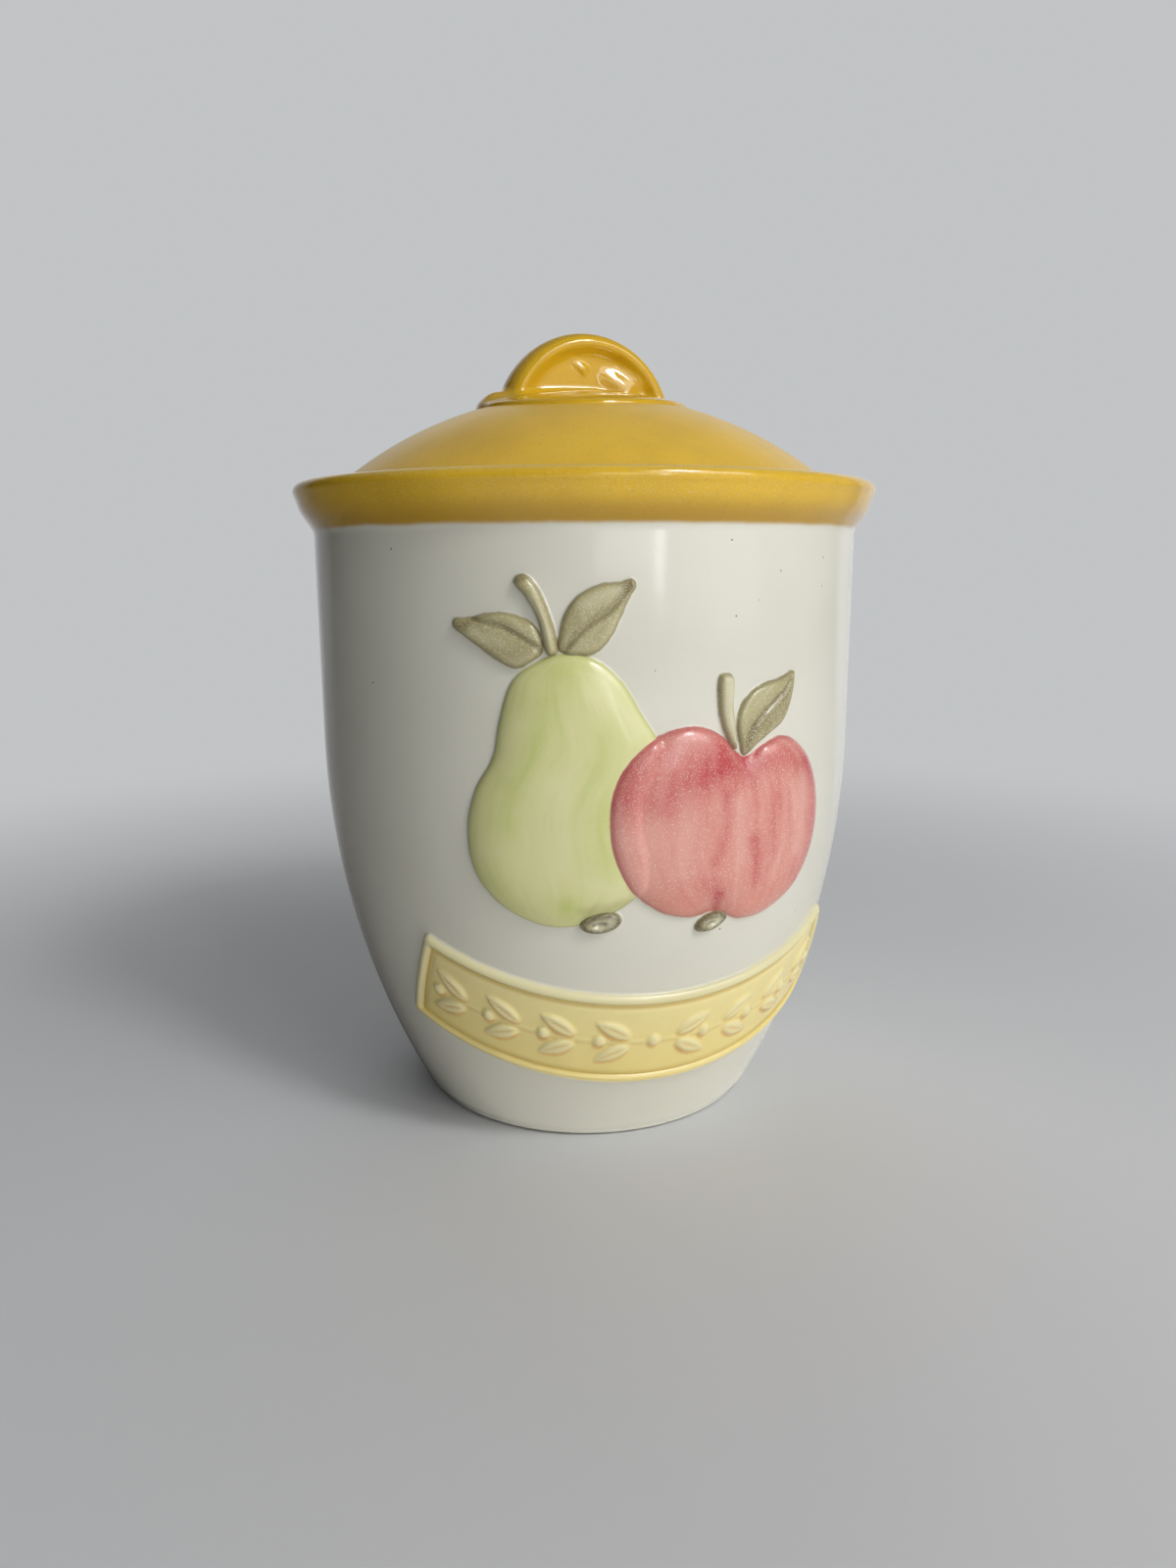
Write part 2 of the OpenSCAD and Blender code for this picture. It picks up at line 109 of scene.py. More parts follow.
# Relief
FRUIT_Z = (57 + BAND_Z) / 2
SKIRT = 1.2
SUNK = 0.4
LEAN = 0.014

# Camera, from the photo: the relief is turned this far to the right of the camera's side
PHOTO_TURN = math.radians(16)
CAMERA_DISTANCE = 378.3
CAMERA_HEIGHT = 181.8
CAMERA_PITCH = 0.2030
CAMERA_YAW = 0.0026
CAMERA_ROLL = 0.004
CAMERA_LENS = 24.975
SENSOR = 36


def srgb(red, green, blue):
    """A colour given as 0 to 255, as Blender's linear values."""
    return tuple(
        (c / 255 / 12.92) if c <= 10 else ((c / 255 + 0.055) / 1.055) ** 2.4
        for c in (red, green, blue)
    ) + (1.0,)


# Curves and profiles

def wall_r(z):
    """Radius of the jar's outer wall at a height."""
    below = np.clip(BELLY_Z - np.asarray(z, float), 0, None)
    return BODY_R - BELLY_ARC + np.sqrt(BELLY_ARC ** 2 - below ** 2)


def arc(centre, radius, start, end, count=12):
    """Points on an arc, between two angles in degrees."""
    return [
        (centre[0] + radius * math.cos(a), centre[1] + radius * math.sin(a))
        for a in np.radians(np.linspace(start, end, count + 1))
    ]


def dense(path, step):
    """A path with points added, so that none are further apart than step."""
    out = [path[0]]
    for a, b in zip(path, path[1:]):
        count = max(1, math.ceil(math.dist(a, b) / step))
        out += [tuple(np.add(a, np.subtract(b, a) * k / count)) for k in range(1, count + 1)]
    return out


def spline(p, q, r, s, t):
    """Smooth curve through four points, between the middle two."""
    return 0.5 * (2 * q + (r - p) * t + (2 * p - 5 * q + 4 * r - s) * t ** 2 + (3 * q - p - 3 * r + s) * t ** 3)


def closed_curve(points, per_span=12):
    """Smooth closed outline through a list of points."""
    p = np.array(points, float)
    spans = zip(np.roll(p, 1, 0), p, np.roll(p, -1, 0), np.roll(p, -2, 0))
    return np.array([spline(*span, t) for span in spans for t in np.arange(per_span) / per_span])


def oval(middle, half_length, half_width, tilt, count=72):
    """Ellipse as an outline. tilt is in degrees."""
    a = np.linspace(0, 2 * math.pi, count, endpoint=False)
    x, y = half_length * np.cos(a), half_width * np.sin(a)
    turn = math.radians(tilt)
    return np.stack([middle[0] + x * math.cos(turn) - y * math.sin(turn),
                     middle[1] + x * math.sin(turn) + y * math.cos(turn)], 1)


def path_distance(p, path):
    """Distance from each point to an open path."""
    best = np.full(len(p), np.inf)
    for a, b in zip(np.array(path[:-1], float), np.array(path[1:], float)):
        along = np.clip(((p - a) @ (b - a)) / ((b - a) @ (b - a)), 0, 1)
        best = np.minimum(best, np.linalg.norm(p - a - along[:, None] * (b - a), axis=1))
    return best


def inside_distance(p, outline):
    """Distance from each point to a closed outline, negative outside it."""
    loop = np.vstack([outline, outline[:1]])
    inside = np.zeros(len(p), bool)
    for a, b in zip(loop[:-1], loop[1:]):
        if a[1] != b[1]:
            crosses = (a[1] > p[:, 1]) != (b[1] > p[:, 1])
            inside ^= crosses & (p[:, 0] < a[0] + (b[0] - a[0]) * (p[:, 1] - a[1]) / (b[1] - a[1]))
    return np.where(inside, 1, -1) * path_distance(p, loop)


def brush_run(p, outline):
    """Coordinates for brush strokes that run from the top of an outline to its foot and bend
    with its sides: across in millimetres, and down at a fraction of the real length."""
    stretch = 0.16
    loop = np.vstack([outline, outline[:1]])
    levels = np.linspace(outline[:, 1].min(), outline[:, 1].max(), 60)[1:-1]
    sides = []
    for level in levels:
        cut = np.flatnonzero((loop[:-1, 1] > level) != (loop[1:, 1] > level))
        share = (level - loop[cut, 1]) / (loop[cut + 1, 1] - loop[cut, 1])
        across = loop[cut, 0] + share * (loop[cut + 1, 0] - loop[cut, 0])
        sides.append((across.min(), across.max()))
    low, high = np.array(sides).T
    left, right = np.interp(p[:, 1], levels, low), np.interp(p[:, 1], levels, high)
    across = (2 * p[:, 0] - left - right) / (right - left) * np.median(high - low) / 2
    return np.column_stack([across, p[:, 1] * stretch, 0 * across])


def smooth_step(x):
    """Rises smoothly from 0 to 1 as x does."""
    x = np.clip(x, 0, 1)
    return x * x * (3 - 2 * x)


def smooth_max(a, b, width):
    """The larger of two heights, with the step between them rounded over a width."""
    share = np.clip(0.5 + 0.5 * (a - b) / width, 0, 1)
    return b + (a - b) * share + width * share * (1 - share)


# Meshes

def piece(name, points, faces, material, body, nodes=(), sharp=None, facts=None):
    """Makes a mesh of points in millimetres, gives it its material and sets it on a body."""
    mesh = bpy.data.meshes.new(name)
    mesh.from_pydata((np.asarray(points) * MM).tolist(), [], faces)
    for key, values in (facts or {}).items():
        attribute = mesh.attributes.new(key, "FLOAT_VECTOR", "POINT")
        attribute.data.foreach_set("vector", np.asarray(values, np.float32).ravel())
    mesh.shade_smooth()
    if sharp:
        mesh.set_sharp_from_angle(angle=math.radians(sharp))
    made = bpy.data.objects.new(name, mesh)
    bpy.context.scene.collection.objects.link(made)
    mesh.materials.append(material)
    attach(made, body)
    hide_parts(*nodes)
    return made


def lathe(name, profile, material, body, nodes, step=2.0, turns=288):
    """Solid of revolution from an anticlockwise profile of (radius, height) points.
    A profile that starts and ends on the axis is closed there, any other closes on itself."""
    on_axis = profile[0][0] == 0
    path = dense(profile if on_axis else profile + profile[:1], step)
    path = path[1:-1] if on_axis else path[:-1]
    angles = np.linspace(0, 2 * math.pi, turns, endpoint=False)
    points = [(r * math.cos(a), r * math.sin(a), z) for r, z in path for a in angles]
    rows = len(path)
    last = rows - 1 if on_axis else rows
    faces = []
    for k in range(last):
        low, high = k * turns, (k + 1) % rows * turns
        faces += [(low + i, low + (i + 1) % turns, high + (i + 1) % turns, high + i) for i in range(turns)]
    if on_axis:
        points += [(0, 0, profile[0][1]), (0, 0, profile[-1][1])]
        first, end = rows * turns, rows * turns + 1
        top = (rows - 1) * turns
        faces += [(first, (i + 1) % turns, i) for i in range(turns)]
        faces += [(end, top + i, top + (i + 1) % turns) for i in range(turns)]
    return piece(name, points, faces, material, body, nodes, sharp=34)


def wrapped(p, lift):
    """Points (u, v) of the unrolled wall, wrapped round the jar at heights above it. The whole
    relief leans a little to the right, as on the photo."""
    u = p[:, 0] * math.cos(LEAN) + p[:, 1] * math.sin(LEAN)
    v = p[:, 1] * math.cos(LEAN) - p[:, 0] * math.sin(LEAN)
    z = v + FRUIT_Z
    r = wall_r(z) + lift
    a = u / BODY_R
    return np.stack([r * np.sin(a), -r * np.cos(a), z], 1)


def outward(outline):
    """Unit normals of an anticlockwise outline."""
    along = np.roll(outline, -1, 0) - np.roll(outline, 1, 0)
    normal = np.stack([along[:, 1], -along[:, 0]], 1)
    return normal / np.linalg.norm(normal, axis=1)[:, None]


def relief(name, outline, middle, lift, wash, material, nodes, rings=40):
    """A piece of relief on the wall: rings of points from its middle out past its outline,
    raised by lift(points, distance in from the edge), and a back that is sunk in the wall."""
    outline, middle = np.asarray(outline), np.array(middle, float)
    normal = outward(outline)
    shares = 1 - (1 - np.linspace(0, 1, rings + 1)[1:]) ** 1.5
    front = [middle + s * (outline - middle) for s in shares]
    front += [outline + normal * SKIRT * k / 4 for k in range(1, 5)]
    back_rings = [middle + s * (front[-1] - middle) for s in (1, 0.8, 0.6, 0.4, 0.2)]
    flat = np.vstack([middle[None], *front, *back_rings, middle[None]])
    count = len(outline)
    front_count = 1 + count * len(front)
    edge = inside_distance(flat, outline)
    height = lift(flat, edge)
    height[front_count:] = -SUNK
    points = wrapped(flat, height)
    faces = [(0, 1 + i, 1 + (i + 1) % count) for i in range(count)]
    for k in range(len(front) + len(back_rings) - 1):
        a, b = 1 + k * count, 1 + (k + 1) * count
        faces += [(a + i, b + i, b + (i + 1) % count, a + (i + 1) % count) for i in range(count)]
    end = len(flat) - 1
    faces += [(end, end - count + (i + 1) % count, end - count + i) for i in range(count)]
    facts = {"wall": np.column_stack([flat, edge]), "wash": wash(flat), "stroke": brush_run(flat, outline)}
    return piece(name, points, faces, material, "jar", nodes, facts=facts)


def surface_net(field, low, pitch):
    """Closed mesh of the level where a field on a grid of cubes is 0. The field is negative inside."""
    cells = tuple(n - 1 for n in field.shape)
    total = np.zeros(cells + (3,))
    count = np.zeros(cells)
    crossings = []
    for axis in range(3):
        ahead = np.moveaxis(field, axis, 0)
        a, b = ahead[:-1], ahead[1:]
        found = np.argwhere((a < 0) != (b < 0))
        share = a[tuple(found.T)] / (a[tuple(found.T)] - b[tuple(found.T)])
        grows = b[tuple(found.T)] > 0
        spot = found.copy()
        spot[:, 0:axis + 1] = np.roll(found[:, 0:axis + 1], -1, 1)
        place = spot.astype(float)
        place[:, axis] += share
        crossings.append((axis, spot, grows))
        side = [i for i in range(3) if i != axis]
        for step in ((0, 0), (0, 1), (1, 0), (1, 1)):
            cell = spot.copy()
            cell[:, side[0]] -= step[0]
            cell[:, side[1]] -= step[1]
            np.add.at(total, tuple(cell.T), place)
            np.add.at(count, tuple(cell.T), 1)
    active = np.argwhere(count > 0)
    number = np.full(cells, -1)
    number[tuple(active.T)] = np.arange(len(active))
    points = low + pitch * total[tuple(active.T)] / count[tuple(active.T)][:, None]
    faces = []
    for axis, spot, grows in crossings:
        one, two = [(1, 2), (2, 0), (0, 1)][axis]
        ring = []
        for step in ((0, 0), (1, 0), (1, 1), (0, 1)):
            cell = spot.copy()
            cell[:, one] -= step[0]
            cell[:, two] -= step[1]
            ring.append(number[tuple(cell.T)])
        quad = np.stack(ring, 1)
        faces.append(np.where(grows[:, None], quad, quad[:, ::-1]))
    return points, np.vstack(faces)


# Materials

class Look:
    """A Principled material, built from the nodes that its methods add."""

    def __init__(self, name, roughness, coat=0.0, coat_roughness=0.05):
        self.material = bpy.data.materials.new(name)
        self.material.use_nodes = True
        self.tree = self.material.node_tree
        self.shader = self.tree.nodes["Principled BSDF"]
        self.shader.inputs["Roughness"].default_value = roughness
        self.shader.inputs["Coat Weight"].default_value = coat
        self.shader.inputs["Coat Roughness"].default_value = coat_roughness
        self.place = self.node("ShaderNodeTexCoord").outputs["Object"]
        self.height = self.axis(self.place, 2)

    def node(self, kind, inputs=(), **settings):
        made = self.tree.nodes.new(kind)
        for key, value in settings.items():
            setattr(made, key, value)
        for key, value in dict(inputs).items():
            self.feed(made.inputs[key], value)
        return made

    def feed(self, socket, value):
        if isinstance(value, bpy.types.NodeSocket):
            self.tree.links.new(value, socket)
        else:
            socket.default_value = value

    def maths(self, operation, a, b=0.0, c=0.0):
        return self.node("ShaderNodeMath", {0: a, 1: b, 2: c}, operation=operation).outputs[0]

    def axis(self, vector, index):
        """One coordinate of a vector, in millimetres where the vector is in metres."""
        return self.node("ShaderNodeSeparateXYZ", {0: vector}).outputs[index]

    def fact(self, name):
        """The three values that the mesh keeps under a name."""
        return self.node("ShaderNodeAttribute", attribute_name=name).outputs["Vector"]

    def mix(self, share, a, b):
        made = self.node("ShaderNodeMix", {0: share, 6: a, 7: b}, data_type="RGBA")
        return made.outputs[2]

    def ramp(self, value, low, high):
        """0 below low, 1 above high, and smooth between them."""
        made = self.node("ShaderNodeMapRange", {0: value, 1: low, 2: high}, interpolation_type="SMOOTHSTEP")
        return made.outputs[0]

    def noise(self, size, detail=2.0, at=None):
        """Soft noise from 0 to 1 with blots of a size in millimetres."""
        scale = 1 / size if at else 1 / (size * MM)
        inputs = {"Vector": at or self.place, "Scale": scale, "Detail": detail}
        return self.node("ShaderNodeTexNoise", inputs).outputs[0]

    def specks(self, spacing, radius, share):
        """1 in small round specks, in a share of cells of a size in millimetres."""
        cell = self.node("ShaderNodeTexVoronoi", {"Vector": self.place, "Scale": 1 / (spacing * MM)})
        near = self.maths("LESS_THAN", cell.outputs["Distance"], radius / spacing)
        picked = self.maths("LESS_THAN", self.axis(cell.outputs["Color"], 0), share)
        return self.maths("MULTIPLY", near, picked)

    def bumps(self, *layers):
        """Adds bump layers, each a height from 0 to 1 and its depth in millimetres."""
        normal = None
        for height, depth in layers:
            inputs = {"Height": height, "Distance": depth * MM, "Strength": 1.0}
            if normal is not None:
                inputs["Normal"] = normal
            normal = self.node("ShaderNodeBump", inputs).outputs[0]
        self.feed(self.shader.inputs["Normal"], normal)

    def colour(self, value):
        self.feed(self.shader.inputs["Base Color"], value)
        return self.material


CREAM = srgb(226, 225, 213)
CREAM_DEEP = srgb(217, 215, 201)
SPECK = srgb(142, 126, 104)
GOLD_RIM = srgb(228, 184, 46)
GOLD_DEEP = srgb(180, 138, 42)
GOLD_PALE = srgb(230, 206, 126)
GOLD_DOME = srgb(240, 195, 60)
GOLD_KNOB = srgb(218, 174, 32)
CLAY = srgb(203, 188, 164)
CLAY_DEEP = srgb(176, 158, 132)


def cream_of(look):
    """Colour of the cream glaze: nearly even, with a few tiny iron specks."""
    cloudy = look.mix(look.noise(38, 3), CREAM, CREAM_DEEP)
    return look.mix(look.specks(8, 0.3, 0.5), cloudy, SPECK)


def gold_of(look, base, deep, pale, grain=1.0):
    """Colour of the golden glaze: a fine broken grain over slow clouds."""
    clouds = look.maths("MULTIPLY", look.ramp(look.noise(26, 2), 0.35, 0.75), 0.3)
    cloudy = look.mix(clouds, base, deep)
    fine = look.ramp(look.noise(0.5, 2), 0.55, 0.72)
    broken = look.mix(look.maths("MULTIPLY", fine, 0.55 * grain), cloudy, pale)
    dark = look.ramp(look.noise(1.0, 2), 0.56, 0.8)
    return look.mix(look.maths("MULTIPLY", dark, 0.35 * grain), broken, deep)


def jar_glaze():
    """Cream below and golden above a soft border on the rim, darker towards its lower edge, with a painted pale
    highlight along its rounded top edge.
    """
    look = Look("jar_glaze", 0.15, 0.25, 0.04)
    rim_deep = look.ramp(look.height, 0.2005, 0.1925)
    gold = look.mix(look.maths("MULTIPLY", rim_deep, 0.75), gold_of(look, GOLD_RIM, GOLD_DEEP, GOLD_PALE), GOLD_DEEP)
    # Painted highlight: a pale line along the rounded top edge of the rim.
    lip_highlight = look.ramp(look.height, 0.2042, 0.2054)
    gold = look.mix(look.maths("MULTIPLY", lip_highlight, 0.5), gold, GOLD_PALE)
    wobble = look.maths("MULTIPLY_ADD", look.noise(9, 2), 0.0008, look.height)
    border = look.ramp(wobble, 0.1911, 0.1927)
    look.bumps((look.noise(34, 1), 0.35), (look.noise(0.9, 1), 0.012))
    return look.colour(look.mix(border, cream_of(look), gold))


def dome_glaze():
    look = Look("dome_glaze", 0.4, 0.3, 0.2)
    look.bumps((look.noise(30, 1), 0.25), (look.noise(0.6, 2), 0.04))
    return look.colour(gold_of(look, GOLD_DOME, srgb(190, 150, 52), srgb(230, 204, 128)))


def knob_glaze():
    look = Look("knob_glaze", 0.08, 0.3, 0.03)
    look.bumps((look.noise(7, 1), 0.14), (look.noise(1.2, 1), 0.01))
    return look.colour(gold_of(look, GOLD_KNOB, srgb(190, 144, 26), srgb(230, 198, 92), 0.3))


def clay():
    look = Look("bare_clay", 0.85)
    grain = look.noise(0.6, 4)
    look.bumps((grain, 0.09))
    return look.colour(look.mix(grain, CLAY, CLAY_DEEP))


def painted(name, tones, rim, rim_width=1.4, shimmer=0.5, brushed=0.5, stroke_width=2.4):
    """Paint under the glaze: a base tone with deep, pale and extra washes. The mesh keeps how
    strong each wash is, how far in from the edge a point lies and how the brush strokes run."""
    look = Look(name, 0.22, 0.15, 0.05)
    base, deep, pale, extra = tones
    wash = look.fact("wash")
    edge = look.axis(look.fact("wall"), 2)
    stroke = look.fact("stroke")
    streak = look.noise(stroke_width, 2, stroke)
    hairs = look.noise(stroke_width * 0.4, 2, stroke)
    brush = look.maths("ADD", look.maths("MULTIPLY", streak, 0.8), look.maths("MULTIPLY", hairs, 0.2))
    colour = look.mix(look.maths("MULTIPLY", look.ramp(brush, 0.5, 0.68), brushed), base, deep)
    colour = look.mix(look.maths("MULTIPLY", look.ramp(brush, 0.48, 0.32), brushed * 1.3), colour, pale)
    uneven = look.maths("ADD", look.noise(5, 3), look.maths("MULTIPLY_ADD", brush, 1.1, -0.15))
    for index, tone in enumerate((deep, pale, extra)):
        share = look.maths("MULTIPLY", look.axis(wash, index), uneven)
        share = look.node("ShaderNodeClamp", {0: share}).outputs[0]
        colour = look.mix(share, colour, tone)
    grain = look.ramp(look.noise(0.45, 2), 0.42, 0.7)
    colour = look.mix(look.maths("MULTIPLY", grain, 0.3 * shimmer), colour, pale)
    glints = look.maths("MULTIPLY", look.specks(0.5, 0.11, 0.5), shimmer)
    colour = look.mix(glints, colour, srgb(240, 228, 208))
    rim_share = look.maths("MULTIPLY", look.ramp(edge, rim_width, 0.2), 0.5)
    colour = look.mix(rim_share, colour, rim)
    wobble = look.maths("MULTIPLY_ADD", look.noise(2.5, 2), 0.7, look.maths("SUBTRACT", edge, 0.35))
    inside = look.ramp(wobble, -0.3, 0.15)
    look.bumps((look.noise(9, 1), 0.12), (look.noise(0.8, 1), 0.014))
    return look.colour(look.mix(inside, cream_of(look), colour))


# Jar and lid

def jar_body(material):
    heights = np.linspace(FOOT_CLEAR + 2 * FOOT_CHAMFER, BELLY_Z, 64)
    lean = math.asin((BELLY_Z - FLOOR_Z - FLOOR_ROUND / 2) / BELLY_ARC)
    corner_z = FLOOR_Z + FLOOR_ROUND * (1 - math.sin(lean))
    corner = (float(wall_r(corner_z)) - WALL_T - FLOOR_ROUND * math.cos(lean), FLOOR_Z + FLOOR_ROUND)
    inside = arc(corner, FLOOR_ROUND, -math.degrees(lean), -90, 16)
    hollow = np.linspace(BELLY_Z, inside[0][1], 56)[:-1]
    edge_r = FOOT_R - FOOT_EDGE_W
    profile = [(0, FOOT_H), (edge_r, FOOT_H), (edge_r, FOOT_CLEAR + FOOT_CHAMFER)]
    profile += arc((edge_r + FOOT_CHAMFER, FOOT_CLEAR + FOOT_CHAMFER), FOOT_CHAMFER, 180, 270, 4)
    profile += arc((FOOT_R - FOOT_CHAMFER, FOOT_CLEAR + FOOT_CHAMFER), FOOT_CHAMFER, 270, 360, 5)
    profile += [(float(wall_r(z)), z) for z in heights[1:]]
    profile += arc(CREASE_C, CREASE_R, 180, 180 - math.degrees(FLARE_A), 12)
    profile += [(MOUTH_R, BAND_Z)]
    profile += [(float(wall_r(z)) - WALL_T, z) for z in hollow]
    profile += inside
    profile += [(0, FLOOR_Z)]
    return lathe("jar_body", profile, material, "jar", ["jar_body"])


def rim_band(material):
    flare = math.degrees(FLARE_A)
    round_r = 0.8
    inner = (LIP_C[0] - LIP_ROUND, LIP_C[1])
    t = np.linspace(0, 1, 16)[:-1]
    profile = [(MOUTH_R, BAND_Z)]
    profile += [(BAND_R + k * (FLARE_TOP[0] - BAND_R) + FLARE_BULGE * math.sin(math.pi * k) ** 1.5,
                 BAND_Z + k * (FLARE_TOP[1] - BAND_Z)) for k in t]
    profile += arc(LIP_C, LIP_ROUND, -flare, 180, 28)
    profile += [(GALLERY_R, LEDGE_Z + GALLERY_H)]
    profile += arc((GALLERY_R - round_r, LEDGE_Z + round_r), round_r, 0, -90, 5)
    profile += arc((MOUTH_R + round_r, LEDGE_Z - round_r), round_r, 90, 180, 5)
    return lathe("rim_band", profile, material, "jar", ["rim_band"], step=0.8)


def foot_ring(material):
    outer = FOOT_R - FOOT_EDGE_W - 0.12
    inner = outer - FOOT_W
    round_r = 1.0
    profile = [(inner, FOOT_H)]
    profile += arc((inner + round_r, round_r), round_r, 180, 270, 5)
    profile += arc((outer - round_r, round_r), round_r, 270, 360, 5)
    profile += [(outer, FOOT_H)]
    return lathe("foot_ring", profile, material, "jar", ["foot_ring"], step=1.2)


def lid_dome(material):
    edge_a = math.asin((LID_R - LID_EDGE_ROUND) / DOME_R)
    inner_r = DOME_R - DOME_T
    inner_a = math.asin(RING_IN_R / inner_r)
    half = LID_EDGE_ROUND
    profile = [(inner_r * math.sin(a), DOME_C + inner_r * math.cos(a)) for a in np.linspace(0, inner_a, 48)]
    profile[0] = (0, profile[0][1])
    profile += [(RING_IN_R, LID_Z)]
    profile += arc((LID_R - half, LID_Z + half), half, 270, 360, 5)
    top_z = DOME_C + DOME_R * math.cos(edge_a)
    profile += arc((LID_R - half, top_z - half), half, 0, 90 - math.degrees(edge_a), 5)
    profile += [(DOME_R * math.sin(a), DOME_C + DOME_R * math.cos(a)) for a in np.linspace(edge_a, 0, 64)[1:-1]]
    profile += [(0, DOME_TOP)]
    return lathe("lid_dome", profile, material, "lid", ["lid_dome"], step=1.6)


def locating_ring(material):
    top = LID_Z - TURN_GAP
    low = top - RING_H
    inner = RING_CHAMFER / 2
    profile = [(RING_IN_R, top)]
    profile += arc((RING_IN_R + inner, low + inner), inner, 180, 270, 4)
    profile += arc((RING_R - RING_CHAMFER, low + RING_CHAMFER), RING_CHAMFER, 270, 360, 6)
    profile += [(RING_R, top)]
    nodes = ["lid_locating_ring"]
    return lathe("lid_locating_ring", profile, material, "lid_ring", nodes, step=1.2)


def rounded_box(x, y, z, half, rounding):
    """Distance to a box with rounded edges about the origin."""
    q = [np.abs(c) - h + rounding for c, h in zip((x, y, z), half)]
    outside = np.sqrt(sum(np.maximum(c, 0) ** 2 for c in q))
    return outside + np.minimum(np.maximum(q[0], np.maximum(q[1], q[2])), 0) - rounding


# Hand-pressed lumps in the knob's recess: across and up from the knob's centre, half length,
# half width and tilt of the lump, its height in the middle, and how steeply it falls upwards
KNOB_LUMPS = [
    (11.2, 16.2, 6.8, 4.8, -38, 1.1, 0.33),
    (-3.4, 19.8, 3.4, 1.6, -44, 0.5, 0.33)]


def knob_field(x, y, z):
    """Distance to the knob and its pad: an arched rim round a dished web, on a foot bar and
    a thin oval pad that follows the dome. x runs across the knob's face and y through it."""
    crest_r, rim_half, rim_depth = KNOB_R - 3.8, 3.8, 8.2
    web_half = 5.2
    foot_half, foot_top, foot_round = (34.2, 5.6, 4.4), -0.3, 4.3
    pad_half, pad_turn, pad_t, pad_round = (34.5, 42.5), math.radians(26), 1.0, 0.9
    ring = np.hypot(x, z - KNOB_C)
    rim = (np.hypot((ring - crest_r) / rim_half, y / rim_depth) - 1) * rim_half
    swell = 0
    for at, up, half_length, half_width, tilt, rise, fall in KNOB_LUMPS:
        right, above = x - at, z - KNOB_C - up
        turn = math.radians(tilt)
        a = (right * math.cos(turn) + above * math.sin(turn)) / half_length
        b = (above * math.cos(turn) - right * math.sin(turn)) / half_width
        swell = swell + (rise - fall * above) * np.exp(-a ** 4 - b ** 4)
    web = np.maximum(np.abs(y) - web_half - swell, ring - crest_r)
    foot = rounded_box(x, y, z - DOME_TOP - foot_top + foot_half[2], foot_half, foot_round)
    over = np.sqrt(x ** 2 + y ** 2 + (z - DOME_C) ** 2) - DOME_R
    across = x * math.cos(pad_turn) - y * math.sin(pad_turn)
    along = x * math.sin(pad_turn) + y * math.cos(pad_turn)
    plan = (np.hypot(across / pad_half[0], along / pad_half[1]) - 1) * pad_half[0]
    slab = np.maximum(over - pad_t, -2.5 - over)
    q = [plan + pad_round, slab + pad_round]
    pad = np.hypot(np.maximum(q[0], 0), np.maximum(q[1], 0)) + np.minimum(np.maximum(*q), 0) - pad_round
    handle = -smooth_max(-rim, -web, 2.6)
    base = -smooth_max(-foot, -pad, 6.0)
    return np.maximum(-smooth_max(-handle, -base, 1.7), -1.5 - over)


def knob(material):
    pitch = 0.8
    low = np.array([-40.0, -48.0, 218.0])
    high = np.array([40.0, 48.0, KNOB_TOP + 2])
    axes = [np.arange(a, b, pitch) for a, b in zip(low, high)]
    grid = np.meshgrid(*axes, indexing="ij")
    points, faces = surface_net(knob_field(*grid), low, pitch)
    nudge = 0.01
    for _ in range(3):
        here = knob_field(*points.T)
        slope = np.stack([(knob_field(*(points + nudge * axis).T) - here) / nudge for axis in np.eye(3)], 1)
        points = points - (here / np.maximum((slope ** 2).sum(1), 0.2))[:, None] * slope
    turn = np.array(Matrix.Rotation(KNOB_TURN, 3, "Z"))
    nodes = ["lid_knob", "knob_pad"]
    return piece("lid_knob", points @ turn.T, faces.tolist(), material, "lid", nodes)


# Fruit

APPLE = closed_curve([
    (21.5, 3.6), (13.5, 10.2), (4.5, 12.9), (-7, 9.5), (-14.5, 2.5), (-18, -7), (-17.5, -20), (-13, -31),
    (-7.5, -37), (0, -41.4), (7, -42.9), (13.5, -42.6), (19.5, -43.6), (26, -45.8), (36, -45), (48, -39),
    (55, -27), (55, -12), (49.5, 0), (42, 6.5), (35, 8.4), (29, 6.6)])
APPLE_MID = (19, -18)
PEAR = closed_curve([
    (-10, 17), (-15, 25), (-22, 31), (-30, 32.8), (-38, 30.4), (-45, 24.8), (-48.5, 14), (-50.5, 4),
    (-56, -6), (-58.5, -18), (-56.5, -30), (-49, -39), (-38, -44), (-28, -44.4), (-20, -41.6),
    (-13.5, -38.4), (-8, -33), (-8, -24), (-10, -14), (-9.5, -5), (-6, 3), (-5, 9)])
PEAR_MID = (-34, -12)
PEAR_STEM = closed_curve([
    (-42.2, 53.4), (-44.3, 51.4), (-41, 47.3), (-37.6, 41), (-35.6, 33), (-32.6, 32.8), (-32.8, 37),
    (-34.2, 42), (-36.6, 48), (-39.4, 52.2)])
PEAR_STEM_MID = (-37.8, 45)
PEAR_LEAF_LEFT = closed_curve([
    (-60.8, 41.6), (-61.9, 39.8), (-60.2, 38), (-54.4, 34.2), (-49, 30.6), (-43.9, 28.6), (-40.2, 30),
    (-36.6, 33), (-36.8, 37), (-39.8, 41), (-46.2, 43.4), (-52.4, 42.9), (-57, 41.8)])
PEAR_LEAF_LEFT_MID = (-47, 37.4)
PEAR_LEAF_RIGHT = closed_curve([
    (-11.9, 50.6), (-13, 52.4), (-16.5, 51.6), (-21.5, 51), (-27, 48.2), (-30.6, 43.4), (-31.9, 38.5), (-32, 33.4),
    (-27, 32.4), (-22.5, 33), (-18.5, 37), (-15.8, 42.5), (-13.4, 48)])
PEAR_LEAF_RIGHT_MID = (-23.4, 42)
